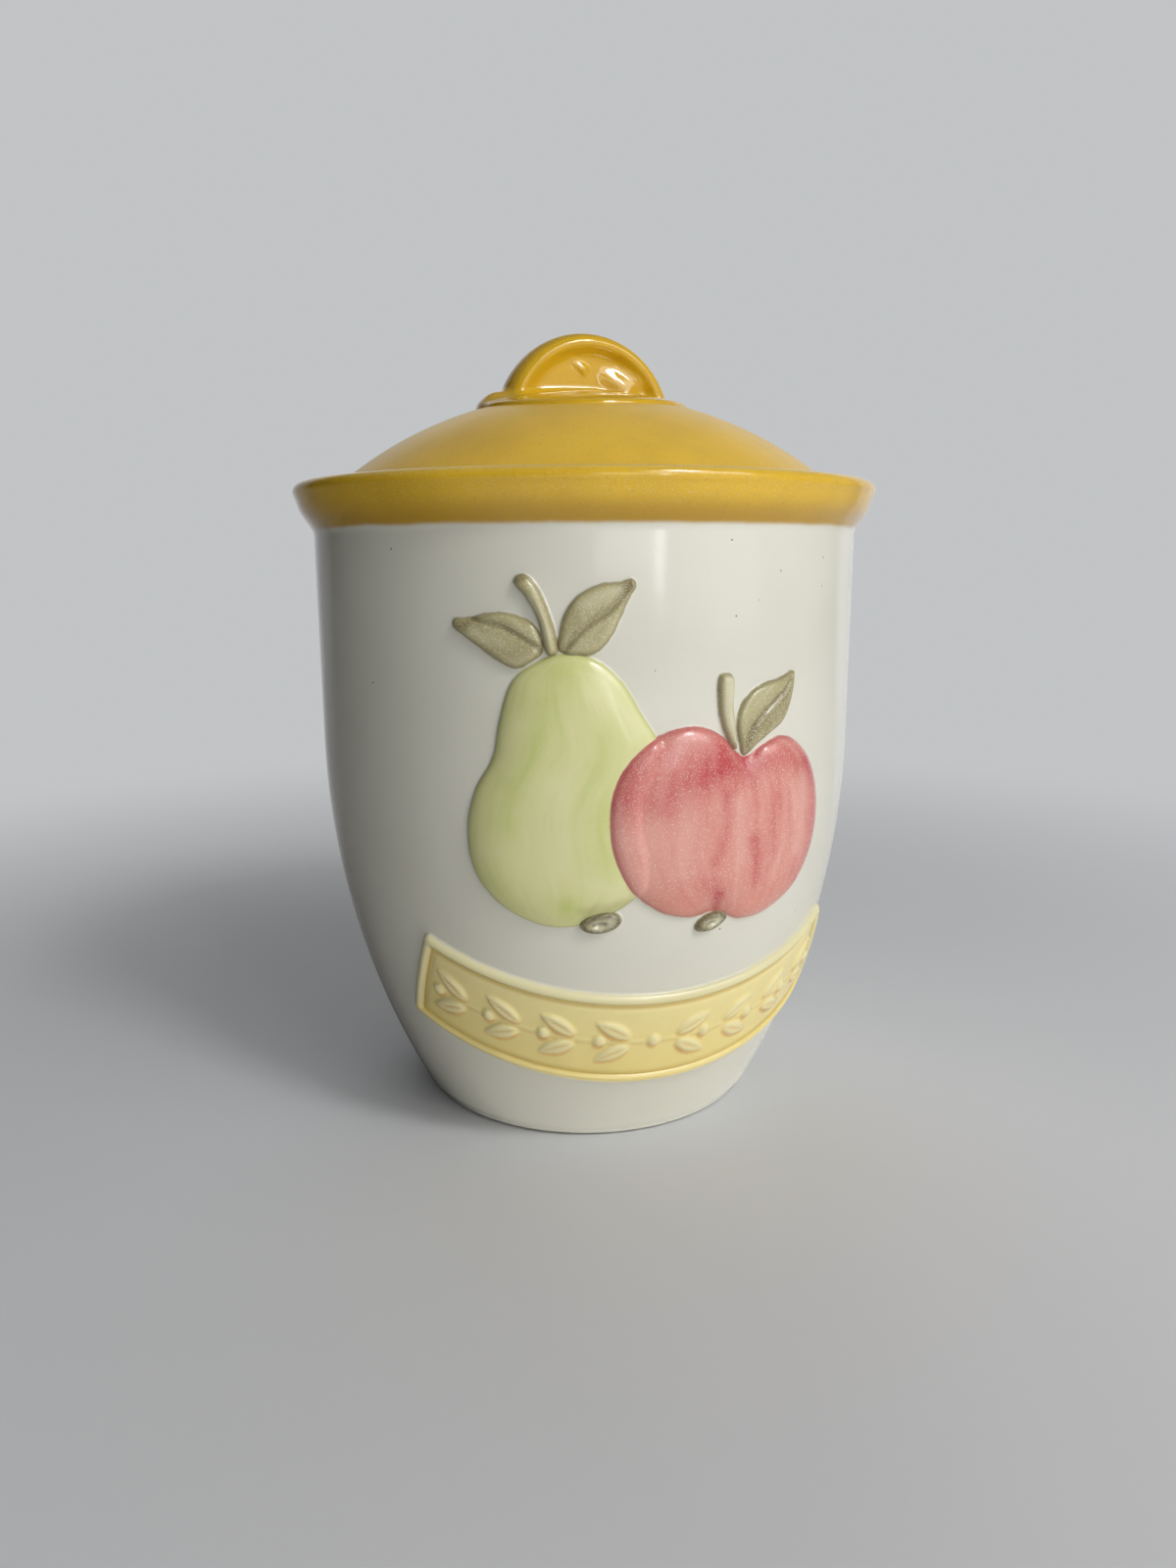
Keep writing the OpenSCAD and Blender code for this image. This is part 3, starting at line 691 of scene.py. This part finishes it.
APPLE_STEM = closed_curve([
    (14.7, 27.1), (12.3, 25.8), (12.5, 18.5), (13.8, 13), (16.6, 7.4), (18.8, 6), (18.2, 12), (17.2, 18),
    (17.1, 25.6)])
APPLE_STEM_MID = (15.2, 18)
APPLE_LEAF = closed_curve([
    (40.2, 25.4), (39.2, 26.9), (34, 25), (27, 23.6), (21.5, 20), (19, 15), (19.4, 9.6), (21.5, 3.8),
    (26, 6.8), (31, 9.7), (36, 12.8), (39, 18.6)])
APPLE_LEAF_MID = (28, 15)
PEAR_CALYX_MID = (-19.9, -43)
PEAR_CALYX = oval(PEAR_CALYX_MID, 6.3, 3.4, 10)
APPLE_CALYX_MID = (14.6, -45.1)
APPLE_CALYX = oval(APPLE_CALYX_MID, 5.4, 2.8, 16)

LEFT_RIB = [(-56, 41.2), (-53.7, 40.7), (-49.6, 40), (-45.6, 38.7), (-41.7, 36.4), (-38.6, 34.6), (-36, 33)]
RIGHT_RIB = [(-31.2, 33.3), (-27.6, 37.7), (-25, 40.2), (-22.5, 42.2), (-19.2, 44.2), (-16.1, 47.2), (-14.1, 50.2)]
APPLE_RIB = [(21.9, 4.1), (22.4, 9.1), (24.4, 12.2), (27.8, 15.8), (31.5, 18.5), (35.4, 21.3), (37.8, 24.4)]


def pillow(edge, height, width, power=2.0):
    """Height of a pillow at a distance in from its edge. Outside the edge it falls away."""
    inward = np.clip(edge / width, 0, 1)
    return height * (1 - (1 - inward) ** power) ** (1 / power) + 1.2 * np.minimum(edge, 0)


def dip(p, centre, size, depth):
    """A soft hollow: its depth at each point."""
    return depth * np.exp(-((p[:, 0] - centre[0]) / size[0]) ** 2 - ((p[:, 1] - centre[1]) / size[1]) ** 2)


def settled(p, edge, rise, under=None):
    """A form set on the wall with a rounded foot, or on the fruit under it with a crisp edge."""
    fillet = 0.7
    sink = 0.25 * smooth_step((-edge - 0.5) / (SKIRT - 0.5))
    on_wall = smooth_max(rise, np.zeros(len(p)), fillet) - sink
    if under is None:
        return on_wall
    below = np.maximum(under(p), 0)
    on_fruit = below + np.where(edge > 0, np.maximum(rise - 0.25 * below, 0.12), 3 * edge)
    share = smooth_step(below / 0.6)
    return on_wall * (1 - share) + on_fruit * share


def pear_lift(p, edge):
    return settled(p, edge, pillow(edge, 3.6, 14))


def pear_surface(p):
    return pear_lift(p, inside_distance(p, PEAR))


def apple_lift(p, edge):
    rise = pillow(edge, 4.2, 14)
    rise = rise - dip(p, (21.5, 2), (5, 9), 1.6) - dip(p, (14.5, -42), (4.5, 6), 1.6)
    return settled(p, edge, rise, pear_surface)


def apple_surface(p):
    return apple_lift(p, inside_distance(p, APPLE))


def leaf_lift(rib, under):
    def lift(p, edge):
        groove = 0.75 * np.exp(-(path_distance(p, rib) / 0.9) ** 2)
        return settled(p, edge, pillow(edge, 1.8, 2.6, 2.3) - groove, under)
    return lift


def stem_lift(under):
    def lift(p, edge):
        return settled(p, edge, pillow(edge, 2.4, 2.3), under)
    return lift


def calyx_lift(middle, under):
    def lift(p, edge):
        hollow = dip(p, middle, (2.9, 1.4), 1.9)
        return settled(p, edge, pillow(edge, 2.6, 2.0) - hollow, under)
    return lift


def strokes(p, marks):
    """Strength of a layer of brush marks, each a path, a half width and a strength."""
    total = np.zeros(len(p))
    for path, width, strength in marks:
        line = path if len(path) > 1 else [path[0], (path[0][0] + 0.1, path[0][1])]
        total += strength * np.exp(-(path_distance(p, line) / width) ** 2)
    return np.clip(total, 0, 1)


def washes(deep, pale, extra=()):
    """Three layers of brush marks, as the mesh keeps them."""
    def wash(p):
        return np.column_stack([strokes(p, deep), strokes(p, pale), strokes(p, extra)])
    return wash


def ring_mark(middle, half_length, half_width, tilt):
    """A dark brush mark round an oval."""
    path = oval(middle, half_length, half_width, tilt, 24)
    return np.vstack([path, path[:1]]), 0.9, 0.9


APPLE_DEEP = [
    ([(21, 2), (13, 1), (4, -3), (-3, -8)], 5.2, 0.85),
    ([(16, 8), (4, 8), (-8, 2), (-13, -8)], 6.0, 0.5),
    ([(28, 2), (36, 3), (44, -1)], 4.6, 0.5),
    ([(14.4, -5.7), (13.8, -19.2), (12, -25.5)], 2.0, 0.55),
    ([(24, -20), (26, -28), (26.5, -33)], 2.2, 0.6),
    ([(30, -9), (30.5, -24)], 3.5, 0.25),
    ([(13, -35), (10.6, -32)], 3.2, 0.6),
    ([(15.5, -41), (15, -36)], 1.6, 0.7),
    ([(46, 0), (50, -10), (51, -24), (45, -36)], 4.6, 0.5),
    ([(-14, 1), (-16, -8)], 2.6, 0.5)]
APPLE_PALE_AND_HIGHLIGHT = [
    ([(-8, -16), (-7, -30)], 7.5, 0.35),
    ([(2, -6.2), (2.3, -28)], 3.2, 0.4),
    ([(18.5, -8), (20, -26)], 2.0, 0.5),
    ([(42, -4), (42.4, -26)], 2.6, 0.5),
    # Painted highlight: this last pale mark lies on the apple's upper shoulder.
    ([(0, 9), (8, 9)], 2.6, 0.35)]
APPLE_EXTRA = [([(-3, -36), (8, -39)], 4, 0.4), ([(24, -41), (40, -37)], 4, 0.4)]
PEAR_DEEP = [
    ([(-34, 30), (-28, 28)], 5.5, 0.5),
    ([(-35.9, 18), (-39, 8.7), (-43.3, -1.3), (-46.4, -13)], 6.0, 0.52),
    ([(-19.7, 10), (-20.8, -1.2), (-21.2, -12.7), (-17.5, -27)], 5.0, 0.42),
    ([(-29.8, -37.6)], 4.2, 0.9),
    ([(-52, -30), (-44, -38)], 5.0, 0.3)]
PEAR_PALE = [
    ([(-21, 29.2), (-16.8, 20.4), (-11.1, 12.8)], 2.6, 0.6),
    ([(-31.5, -4), (-31.5, -24)], 5.0, 0.5),
    ([(-42, 14), (-46, 2)], 2.6, 0.4),
    ([(-13, -33), (-22, -31)], 4.0, 0.5)]
PEAR_EXTRA = [([(-25, -39), (-19, -37.8), (-12, -36.8)], 1.8, 0.42)]


def fruit_group():
    leaf = painted("leaf_glaze", (srgb(182, 174, 130), srgb(126, 114, 74), srgb(214, 208, 176),
                   srgb(104, 80, 56)), srgb(130, 119, 80), 1.3, 1.2, 0.3, 2.6)
    pear = painted("pear_glaze", (srgb(222, 221, 160), srgb(193, 205, 117), srgb(230, 228, 178),
                   srgb(150, 146, 84)), srgb(188, 193, 124), 1.4, 0.35, 0.35, 4.5)
    apple = painted("apple_glaze", (srgb(221, 148, 136), srgb(190, 66, 74), srgb(231, 178, 165),
                    srgb(218, 132, 108)), srgb(190, 90, 92), 1.5, 1.1, 0.3, 4.0)
    calyx = painted("calyx_glaze", (srgb(164, 157, 116), srgb(88, 80, 52), srgb(232, 228, 200),
                    srgb(96, 84, 54)), srgb(110, 102, 68), 0.8, 0.6, 0.5, 1.4)
    relief("pear", PEAR, PEAR_MID, pear_lift, washes(PEAR_DEEP, PEAR_PALE, PEAR_EXTRA), pear,
           ["pear"], rings=56)
    relief("apple", APPLE, APPLE_MID, apple_lift, washes(APPLE_DEEP, APPLE_PALE_AND_HIGHLIGHT, APPLE_EXTRA), apple,
           ["apple"], rings=56)
    relief("pear_leaf_left", PEAR_LEAF_LEFT, PEAR_LEAF_LEFT_MID, leaf_lift(LEFT_RIB, pear_surface),
           washes([(LEFT_RIB, 1.5, 0.6), ([(-43, 31.5), (-50, 34)], 2.2, 0.35), ([(-61, 40), (-57.5, 39.6)], 1.8, 0.8)], [([(-55, 38), (-48, 35.5)], 1.6, 0.35)]), leaf, ["pear_leaf_left"], rings=30)
    relief("pear_leaf_right", PEAR_LEAF_RIGHT, PEAR_LEAF_RIGHT_MID, leaf_lift(RIGHT_RIB, pear_surface),
           washes([(RIGHT_RIB, 1.5, 0.6), ([(-29.5, 36), (-29, 44)], 2.0, 0.4), ([(-12.4, 51.6), (-15, 50)], 1.6, 0.7)], [([(-17, 49.5), (-25, 46)], 1.6, 0.4)]), leaf, ["pear_leaf_right"], rings=30)
    relief("pear_stem", PEAR_STEM, PEAR_STEM_MID, stem_lift(pear_surface),
           washes([([(-43, 52.2), (-41.6, 52.8)], 1.2, 1.2)], [([(-40, 46.5), (-36, 38)], 1.6, 0.9)]), leaf, ["pear_stem"], rings=14)
    relief("apple_leaf", APPLE_LEAF, APPLE_LEAF_MID, leaf_lift(APPLE_RIB, apple_surface),
           washes([(APPLE_RIB, 1.3, 0.6), ([(25, 10), (36, 18)], 5, 0.6)], []), leaf, ["apple_leaf"], rings=30)
    relief("apple_stem", APPLE_STEM, APPLE_STEM_MID, stem_lift(apple_surface),
           washes([], [([(15, 25), (15.2, 16), (17, 9)], 1.8, 1.4)]), leaf, ["apple_stem"], rings=14)
    relief("pear_calyx", PEAR_CALYX, PEAR_CALYX_MID, calyx_lift(PEAR_CALYX_MID, pear_surface),
           washes([ring_mark(PEAR_CALYX_MID, 5.0, 2.5, 10)], [([(-20.9, -43.3), (-17.6, -42.6)], 1.3, 1.3)],
                  [([(-22, -43.4), (-18.6, -43.2)], 0.6, 0.9)]), calyx, ["pear_calyx"], rings=20)
    relief("apple_calyx", APPLE_CALYX, APPLE_CALYX_MID, calyx_lift(APPLE_CALYX_MID, apple_surface),
           washes([ring_mark(APPLE_CALYX_MID, 4.2, 2.0, 14)], [([(13.8, -45.3), (16.2, -44.7)], 1.1, 1.3)],
                  [([(12.8, -45.6), (15.4, -45.2)], 0.5, 0.9)]), calyx, ["apple_calyx"], rings=20)


# Banner

BANNER_Z = 57
BANNER_ARC = 165
BANNER_A = math.radians(25)
BANNER_W = 33
BANNER_HALF = (BANNER_ARC * BANNER_A, BANNER_W / 2)
FRAME_W = 4
FRAME_T = 2.6
PANEL_T = 1.2
GARLAND_T = 1.3
GARLAND_PAIRS = 4
GARLAND_PITCH = (BANNER_A - math.radians(3)) / GARLAND_PAIRS
GARLAND_LEAN = math.radians(24)
GARLAND_GAP = 2.8
GARLAND_LEAF = (14, 5.6)
BERRY_R = 2.3


def on_banner(p):
    """Relief places (u, v) of banner places: along its arc from the middle, and up from its middle line."""
    r = BANNER_ARC + BANNER_W / 2 - p[:, 1]
    a = p[:, 0] / BANNER_ARC
    across = r * np.sin(a) * BODY_R / wall_r(BANNER_Z)
    return np.stack([across, BANNER_Z + BANNER_ARC - r * np.cos(a) - FRUIT_Z], 1)


def rounded_loop(half, rounding, counts=(170, 36, 8)):
    """Anticlockwise rectangle about the origin with rounded corners."""
    w, h = half[0] - rounding, half[1] - rounding
    loop = []
    sides = [((-w, -half[1]), (w, -half[1]), counts[0]), ((half[0], -h), (half[0], h), counts[1]),
             ((w, half[1]), (-w, half[1]), counts[0]), ((-half[0], h), (-half[0], -h), counts[1])]
    corners = [(w, -h, -90), (w, h, 0), (-w, h, 90), (-w, -h, 180)]
    for (a, b, count), (x, y, turn) in zip(sides, corners):
        loop += [tuple(np.add(a, np.subtract(b, a) * k / count)) for k in range(count)]
        loop += arc((x, y), rounding, turn, turn + 90, counts[2])[:-1]
    return np.array(loop)


def banner_frame(material):
    """Raised border of the banner, with a rounded ridge that falls to a groove inside."""
    insets = np.concatenate([np.linspace(-SKIRT, 0, 5), np.linspace(0, 2, 9)[1:], np.linspace(2, 4.4, 10)[1:]])
    rows = []
    for inset in np.concatenate([insets, insets[[-1, 0]]]):
        rounding = 1.8 - 0.25 * np.clip(inset, 0, FRAME_W) - min(inset, 0)
        rows.append(rounded_loop((BANNER_HALF[0] - inset, BANNER_HALF[1] - inset), rounding))
    outer = pillow(insets, FRAME_T - 0.3, 2.8)
    inner = PANEL_T - 0.6 + (FRAME_T - PANEL_T + 0.6) * smooth_step((4.3 - insets) / 2.4)
    rise = -smooth_max(-outer, -inner, 0.8)
    height = settled(np.zeros((len(insets), 2)), insets, rise)
    height = np.concatenate([height, [-SUNK, -SUNK]])
    count = len(rows[0])
    flat = on_banner(np.vstack(rows))
    points = wrapped(flat, np.repeat(height, count))
    faces = []
    for k in range(len(rows)):
        a, b = k * count, (k + 1) % len(rows) * count
        faces += [(a + i, a + (i + 1) % count, b + (i + 1) % count, b + i) for i in range(count)]
    edge = np.repeat(np.concatenate([insets, insets[[-1, 0]]]), count)
    low = np.clip(-np.vstack(rows)[:, 1] / BANNER_HALF[1], 0, 1)
    facts = {"wall": np.column_stack([flat, edge]), "wash": np.column_stack([low, 0 * low, 0 * low])}
    return piece("banner_frame", points, faces, material, "jar", ["banner_frame"], facts=facts)


def garland_leaf(side, index, up):
    """Outline and midrib of one leaf of the garland, as relief places."""
    length, width = GARLAND_LEAF
    t = np.linspace(0, 1, 22)
    bulge = width / 2 * np.sin(math.pi * t ** 0.85) ** 0.8
    lower = np.stack([t * length, -bulge], 1)
    upper = np.stack([t * length, bulge], 1)[-2:0:-1]
    a = side * (index + 0.42) * GARLAND_PITCH
    turn = (a if side > 0 else a + math.pi) + up * side * GARLAND_LEAN
    root = on_banner(np.array([(a * BANNER_ARC, up * GARLAND_GAP / 2)]))[0]
    spin = np.array([(math.cos(turn), math.sin(turn)), (-math.sin(turn), math.cos(turn))])
    rib = np.array([(0.8, 0), (length * 0.86, 0)])
    return np.vstack([lower, upper]) @ spin + root, rib @ spin + root


def garland_rise(p):
    """Height of the garland above the field: leaves, berries and a thin vine."""
    vine = np.array([(s, 0) for s in np.linspace(-0.82, 0.82, 40) * BANNER_HALF[0]])
    rise = 0.45 * np.exp(-(path_distance(p, on_banner(vine)) / 0.55) ** 2)
    for side in (-1, 1):
        for index in range(GARLAND_PAIRS):
            for up in (-1, 1):
                outline, rib = garland_leaf(side, index, up)
                near = np.flatnonzero(np.linalg.norm(p - outline.mean(0), axis=1) < GARLAND_LEAF[0])
                edge = inside_distance(p[near], outline)
                leaf = pillow(edge, GARLAND_T, 2.2) - 0.45 * np.exp(-(path_distance(p[near], rib) / 0.5) ** 2)
                rise[near] = smooth_max(rise[near], np.maximum(leaf, 0), 0.25)
    for index in range(-GARLAND_PAIRS, GARLAND_PAIRS + 1):
        middle = on_banner(np.array([(index * GARLAND_PITCH * BANNER_ARC, 0)]))[0]
        edge = BERRY_R - np.linalg.norm(p - middle, axis=1)
        rise = smooth_max(rise, np.maximum(pillow(edge, GARLAND_T + 0.1, BERRY_R), 0), 0.25)
    return rise


def banner_field(material):
    """The banner's field with its garland in low relief."""
    inset = FRAME_W - 0.7
    half = (BANNER_HALF[0] - inset, BANNER_HALF[1] - inset)
    pitch = 0.6
    across = np.linspace(-half[0], half[0], round(2 * half[0] / pitch) + 1)
    upward = np.linspace(-half[1], half[1], round(2 * half[1] / pitch) + 1)
    grid = np.stack(np.meshgrid(across, upward, indexing="ij"), -1).reshape(-1, 2)
    flat = on_banner(grid)
    rise = garland_rise(flat)
    edge = np.minimum(half[0] - np.abs(grid[:, 0]), half[1] - np.abs(grid[:, 1]))
    groove = 0.35 * np.exp(-((edge - 1.3) / 0.7) ** 2)
    height = PANEL_T + rise - groove - 0.4 * smooth_step(1 - edge / 0.6)
    points = np.vstack([wrapped(flat, height), wrapped(flat, -SUNK)])
    rows, columns = len(across), len(upward)
    total = rows * columns
    number = np.arange(total).reshape(rows, columns)
    a, b, c, d = number[:-1, :-1], number[1:, :-1], number[1:, 1:], number[:-1, 1:]
    front = np.stack([a, b, c, d], -1).reshape(-1, 4)
    rim = np.concatenate([number[:, 0], number[-1, 1:], number[-2::-1, -1], number[0, -2:0:-1]])
    after = np.roll(rim, -1)
    sides = np.stack([rim + total, after + total, after, rim], 1)
    faces = np.vstack([front, front[:, ::-1] + total, sides]).tolist()
    pool = np.clip((garland_rise(flat + (0.2, 1.0)) - rise) / 0.5, 0, 1)
    low = np.clip(0.5 - grid[:, 1] / (2 * half[1]), 0, 1)
    wash = np.column_stack([np.clip(rise / 1.0, 0, 1), pool, low])
    facts = {"wall": np.tile(np.column_stack([flat, edge]), (2, 1)), "wash": np.tile(wash, (2, 1))}
    nodes = ["banner_panel", "banner_leaves", "banner_berries"]
    return piece("banner_field", points, faces, material, "jar", nodes, facts=facts)


def banner_edge_glaze():
    """Pale cream on the upper border, golden on the lower, with a halo of cream outside."""
    look = Look("banner_edge_glaze", 0.26, 0.3, 0.08)
    edge = look.axis(look.fact("wall"), 2)
    low = look.ramp(look.axis(look.fact("wash"), 0), 0.55, 0.95)
    tone = look.mix(low, srgb(233, 225, 176), srgb(247, 226, 146))
    tone = look.mix(look.ramp(edge, 2.4, 4.2), tone, srgb(222, 196, 100))
    crest = look.maths("MULTIPLY", look.ramp(edge, 1.4, 0.6), 0.35)
    tone = look.mix(crest, tone, srgb(236, 228, 190))
    wobble = look.maths("MULTIPLY_ADD", look.noise(2.5, 2), 0.9, look.maths("SUBTRACT", edge, 0.45))
    inside = look.ramp(wobble, -0.5, 0.5)
    look.bumps((look.noise(9, 1), 0.12), (look.noise(0.8, 1), 0.014))
    return look.colour(look.mix(inside, cream_of(look), tone))


def banner_field_glaze():
    """Yellow glaze, thin and pale on the garland, and deeper where it runs together."""
    look = Look("banner_field_glaze", 0.26, 0.3, 0.08)
    wash = look.fact("wash")
    edge = look.axis(look.fact("wall"), 2)
    field = look.mix(look.axis(wash, 2), srgb(244, 229, 164), srgb(246, 224, 136))
    field = look.mix(look.maths("MULTIPLY", look.noise(3, 3), 0.5), field, srgb(234, 218, 150))
    ridge = look.ramp(look.axis(wash, 0), 0.25, 0.95)
    field = look.mix(look.maths("MULTIPLY", ridge, 0.7), field, srgb(240, 230, 178))
    pool = look.maths("MULTIPLY", look.axis(wash, 1), look.maths("MULTIPLY_ADD", look.noise(4, 2), 0.8, 0.2))
    field = look.mix(pool, field, srgb(226, 168, 78))
    # Painted shade: the field darkens near its edge, in the groove under the frame.
    groove = look.maths("MULTIPLY", look.ramp(edge, 2.2, 0.6), 0.6)
    look.bumps((look.noise(7, 1), 0.1), (look.noise(0.8, 1), 0.014))
    return look.colour(look.mix(groove, field, srgb(204, 170, 78)))


# Stage, lights and camera

BACKDROP = srgb(194, 196, 198)
WALL_LIGHT = srgb(248, 249, 252)
WALL_LEVEL = 0.72
WALL_LEFT = 0.22


def stage():
    radius = 6
    count = 96
    angles = np.linspace(0, 2 * math.pi, count, endpoint=False)
    mesh = bpy.data.meshes.new("floor")
    mesh.from_pydata([(radius * math.cos(a), radius * math.sin(a), 0) for a in angles], [], [range(count)])
    floor = bpy.data.objects.new("floor", mesh)
    bpy.context.scene.collection.objects.link(floor)
    look = Look("floor_paper", 0.9)
    rays = look.node("ShaderNodeLightPath").outputs
    far = look.node("ShaderNodeVectorMath", {0: look.place}, operation="LENGTH").outputs["Value"]
    heading = look.node("ShaderNodeVectorMath", {0: look.place}, operation="NORMALIZE").outputs[0]
    turned = look.node("ShaderNodeVectorRotate", {"Vector": heading, "Angle": PHOTO_TURN}, rotation_type="Z_AXIS")
    behind = look.ramp(look.axis(turned.outputs[0], 1), 0.62, 0.67)
    across = look.axis(turned.outputs[0], 0)
    # Painted shade: for light reflected off it, the floor is darker to the left, which shades the pot's left side.
    shaded_bounce = look.mix(look.ramp(across, -1.0, -0.4), srgb(120, 120, 120), srgb(248, 247, 244))
    look.colour(look.mix(rays["Is Camera Ray"], shaded_bounce, srgb(214, 215, 217)))
    level = look.ramp(across, -0.8, -0.2)
    level = look.maths("MULTIPLY_ADD", level, WALL_LEVEL - WALL_LEFT, WALL_LEFT)
    seen = look.maths("MULTIPLY", look.ramp(far, 0.16, 0.7), rays["Is Camera Ray"])
    mirrored = look.maths("MULTIPLY", look.maths("MULTIPLY", look.ramp(far, 0.2, 0.6), rays["Is Glossy Ray"]), behind)
    plain = look.node("ShaderNodeEmission", {"Color": BACKDROP, "Strength": 1.0}).outputs[0]
    pale = look.node("ShaderNodeEmission", {"Color": WALL_LIGHT, "Strength": level}).outputs[0]
    mixed = look.node("ShaderNodeMixShader", {0: seen, 1: look.shader.outputs[0], 2: plain}).outputs[0]
    mixed = look.node("ShaderNodeMixShader", {0: mirrored, 1: mixed, 2: pale}).outputs[0]
    output = look.tree.nodes["Material Output"]
    look.feed(output.inputs["Surface"], mixed)
    mesh.materials.append(look.material)


def world():
    """Soft grey light: a pale wall behind the pot, a room that is dark to the left, and for
    the camera a plain pale backdrop."""
    made = bpy.data.worlds.new("studio")
    bpy.context.scene.world = made
    made.use_nodes = True
    tree = made.node_tree

    def add(kind, *values, **settings):
        node = tree.nodes.new(kind)
        for key, value in settings.items():
            setattr(node, key, value)
        for socket, value in zip(node.inputs, values):
            if isinstance(value, bpy.types.NodeSocket):
                tree.links.new(value, socket)
            elif value is not None:
                socket.default_value = value
        return node

    def ramp(value, low, high, start, end):
        return add("ShaderNodeMapRange", value, low, high, start, end, interpolation_type="SMOOTHSTEP").outputs[0]

    direction = add("ShaderNodeTexCoord").outputs["Generated"]
    turned = add("ShaderNodeVectorRotate", direction, None, None, PHOTO_TURN, rotation_type="Z_AXIS").outputs[0]
    across, behind, up = add("ShaderNodeSeparateXYZ", turned).outputs
    room = ramp(across, -0.55, 0.4, 0.0, 0.27)
    wall = ramp(across, -0.8, -0.2, WALL_LEFT, WALL_LEVEL)
    share = ramp(behind, 0.62, 0.67, 0.0, 1.0)
    overhead = ramp(up, 0.4, 0.7, 0.0, 1.0)
    low = add("ShaderNodeMix", share, None, room, wall).outputs[0]
    strength = add("ShaderNodeMix", overhead, None, low, 0.15).outputs[0]
    light = add("ShaderNodeBackground", WALL_LIGHT, strength).outputs[0]
    plain = add("ShaderNodeBackground", BACKDROP, 1.0).outputs[0]
    seen = add("ShaderNodeLightPath").outputs["Is Camera Ray"]
    mixed = add("ShaderNodeMixShader", seen, light, plain).outputs[0]
    tree.links.new(mixed, tree.nodes["World Output"].inputs["Surface"])


def lamp(name, azimuth, elevation, distance, size, watts, target=(0, 0, 0.12)):
    """An area lamp that faces the pot. Azimuth 0 is on the camera's side, and grows to the right."""
    data = bpy.data.lights.new(name, "AREA")
    data.shape = "RECTANGLE"
    data.size, data.size_y = size
    data.energy = watts
    made = bpy.data.objects.new(name, data)
    bpy.context.scene.collection.objects.link(made)
    a, e = math.radians(azimuth) - PHOTO_TURN, math.radians(elevation)
    aim = Matrix.Translation(target) @ Matrix.Rotation(a, 4, "Z") @ Matrix.Rotation(math.pi / 2 - e, 4, "X")
    made.matrix_world = aim @ Matrix.Translation((0, 0, distance))
    return made


def camera():
    data = bpy.data.cameras.new("camera")
    data.lens = CAMERA_LENS
    data.sensor_width = SENSOR
    data.clip_start = 0.01
    made = bpy.data.objects.new("camera", data)
    bpy.context.scene.collection.objects.link(made)
    at = Matrix.Rotation(-PHOTO_TURN, 4, "Z") @ Matrix.Translation((0, -CAMERA_DISTANCE * MM, CAMERA_HEIGHT * MM))
    aim = Matrix.Rotation(-CAMERA_YAW, 4, "Z") @ Matrix.Rotation(math.pi / 2 - CAMERA_PITCH, 4, "X")
    made.matrix_world = at @ aim @ Matrix.Rotation(-CAMERA_ROLL, 4, "Z")
    bpy.context.scene.camera = made


stage()
world()
camera()
lamp("window", 52, 12, 1.4, (0.9, 0.7), 1.3)
lamp("window_top", 46, 34, 1.4, (0.9, 0.5), 4.9)
lamp("pane", 28.8, 10, 1.4, (0.09, 0.46), 0.55)
lamp("low", 2, -1, 1.2, (0.7, 0.17), 0.6).visible_glossy = False
lamp("fill", 18, 12, 1.6, (0.8, 0.6), 2.5)
lamp("sky", 42, 45, 1.2, (0.2, 0.24), 3.4)
lamp("back", 190, 42, 1.5, (1.0, 0.7), 3.0).visible_glossy = False

glaze = jar_glaze()
jar_body(glaze)
rim_band(glaze)
foot_ring(clay())
dome = dome_glaze()
lid_dome(dome)
locating_ring(dome)
knob(knob_glaze())
fruit_group()
banner_frame(banner_edge_glaze())
banner_field(banner_field_glaze())

bpy.context.scene.view_settings.view_transform = "Standard"
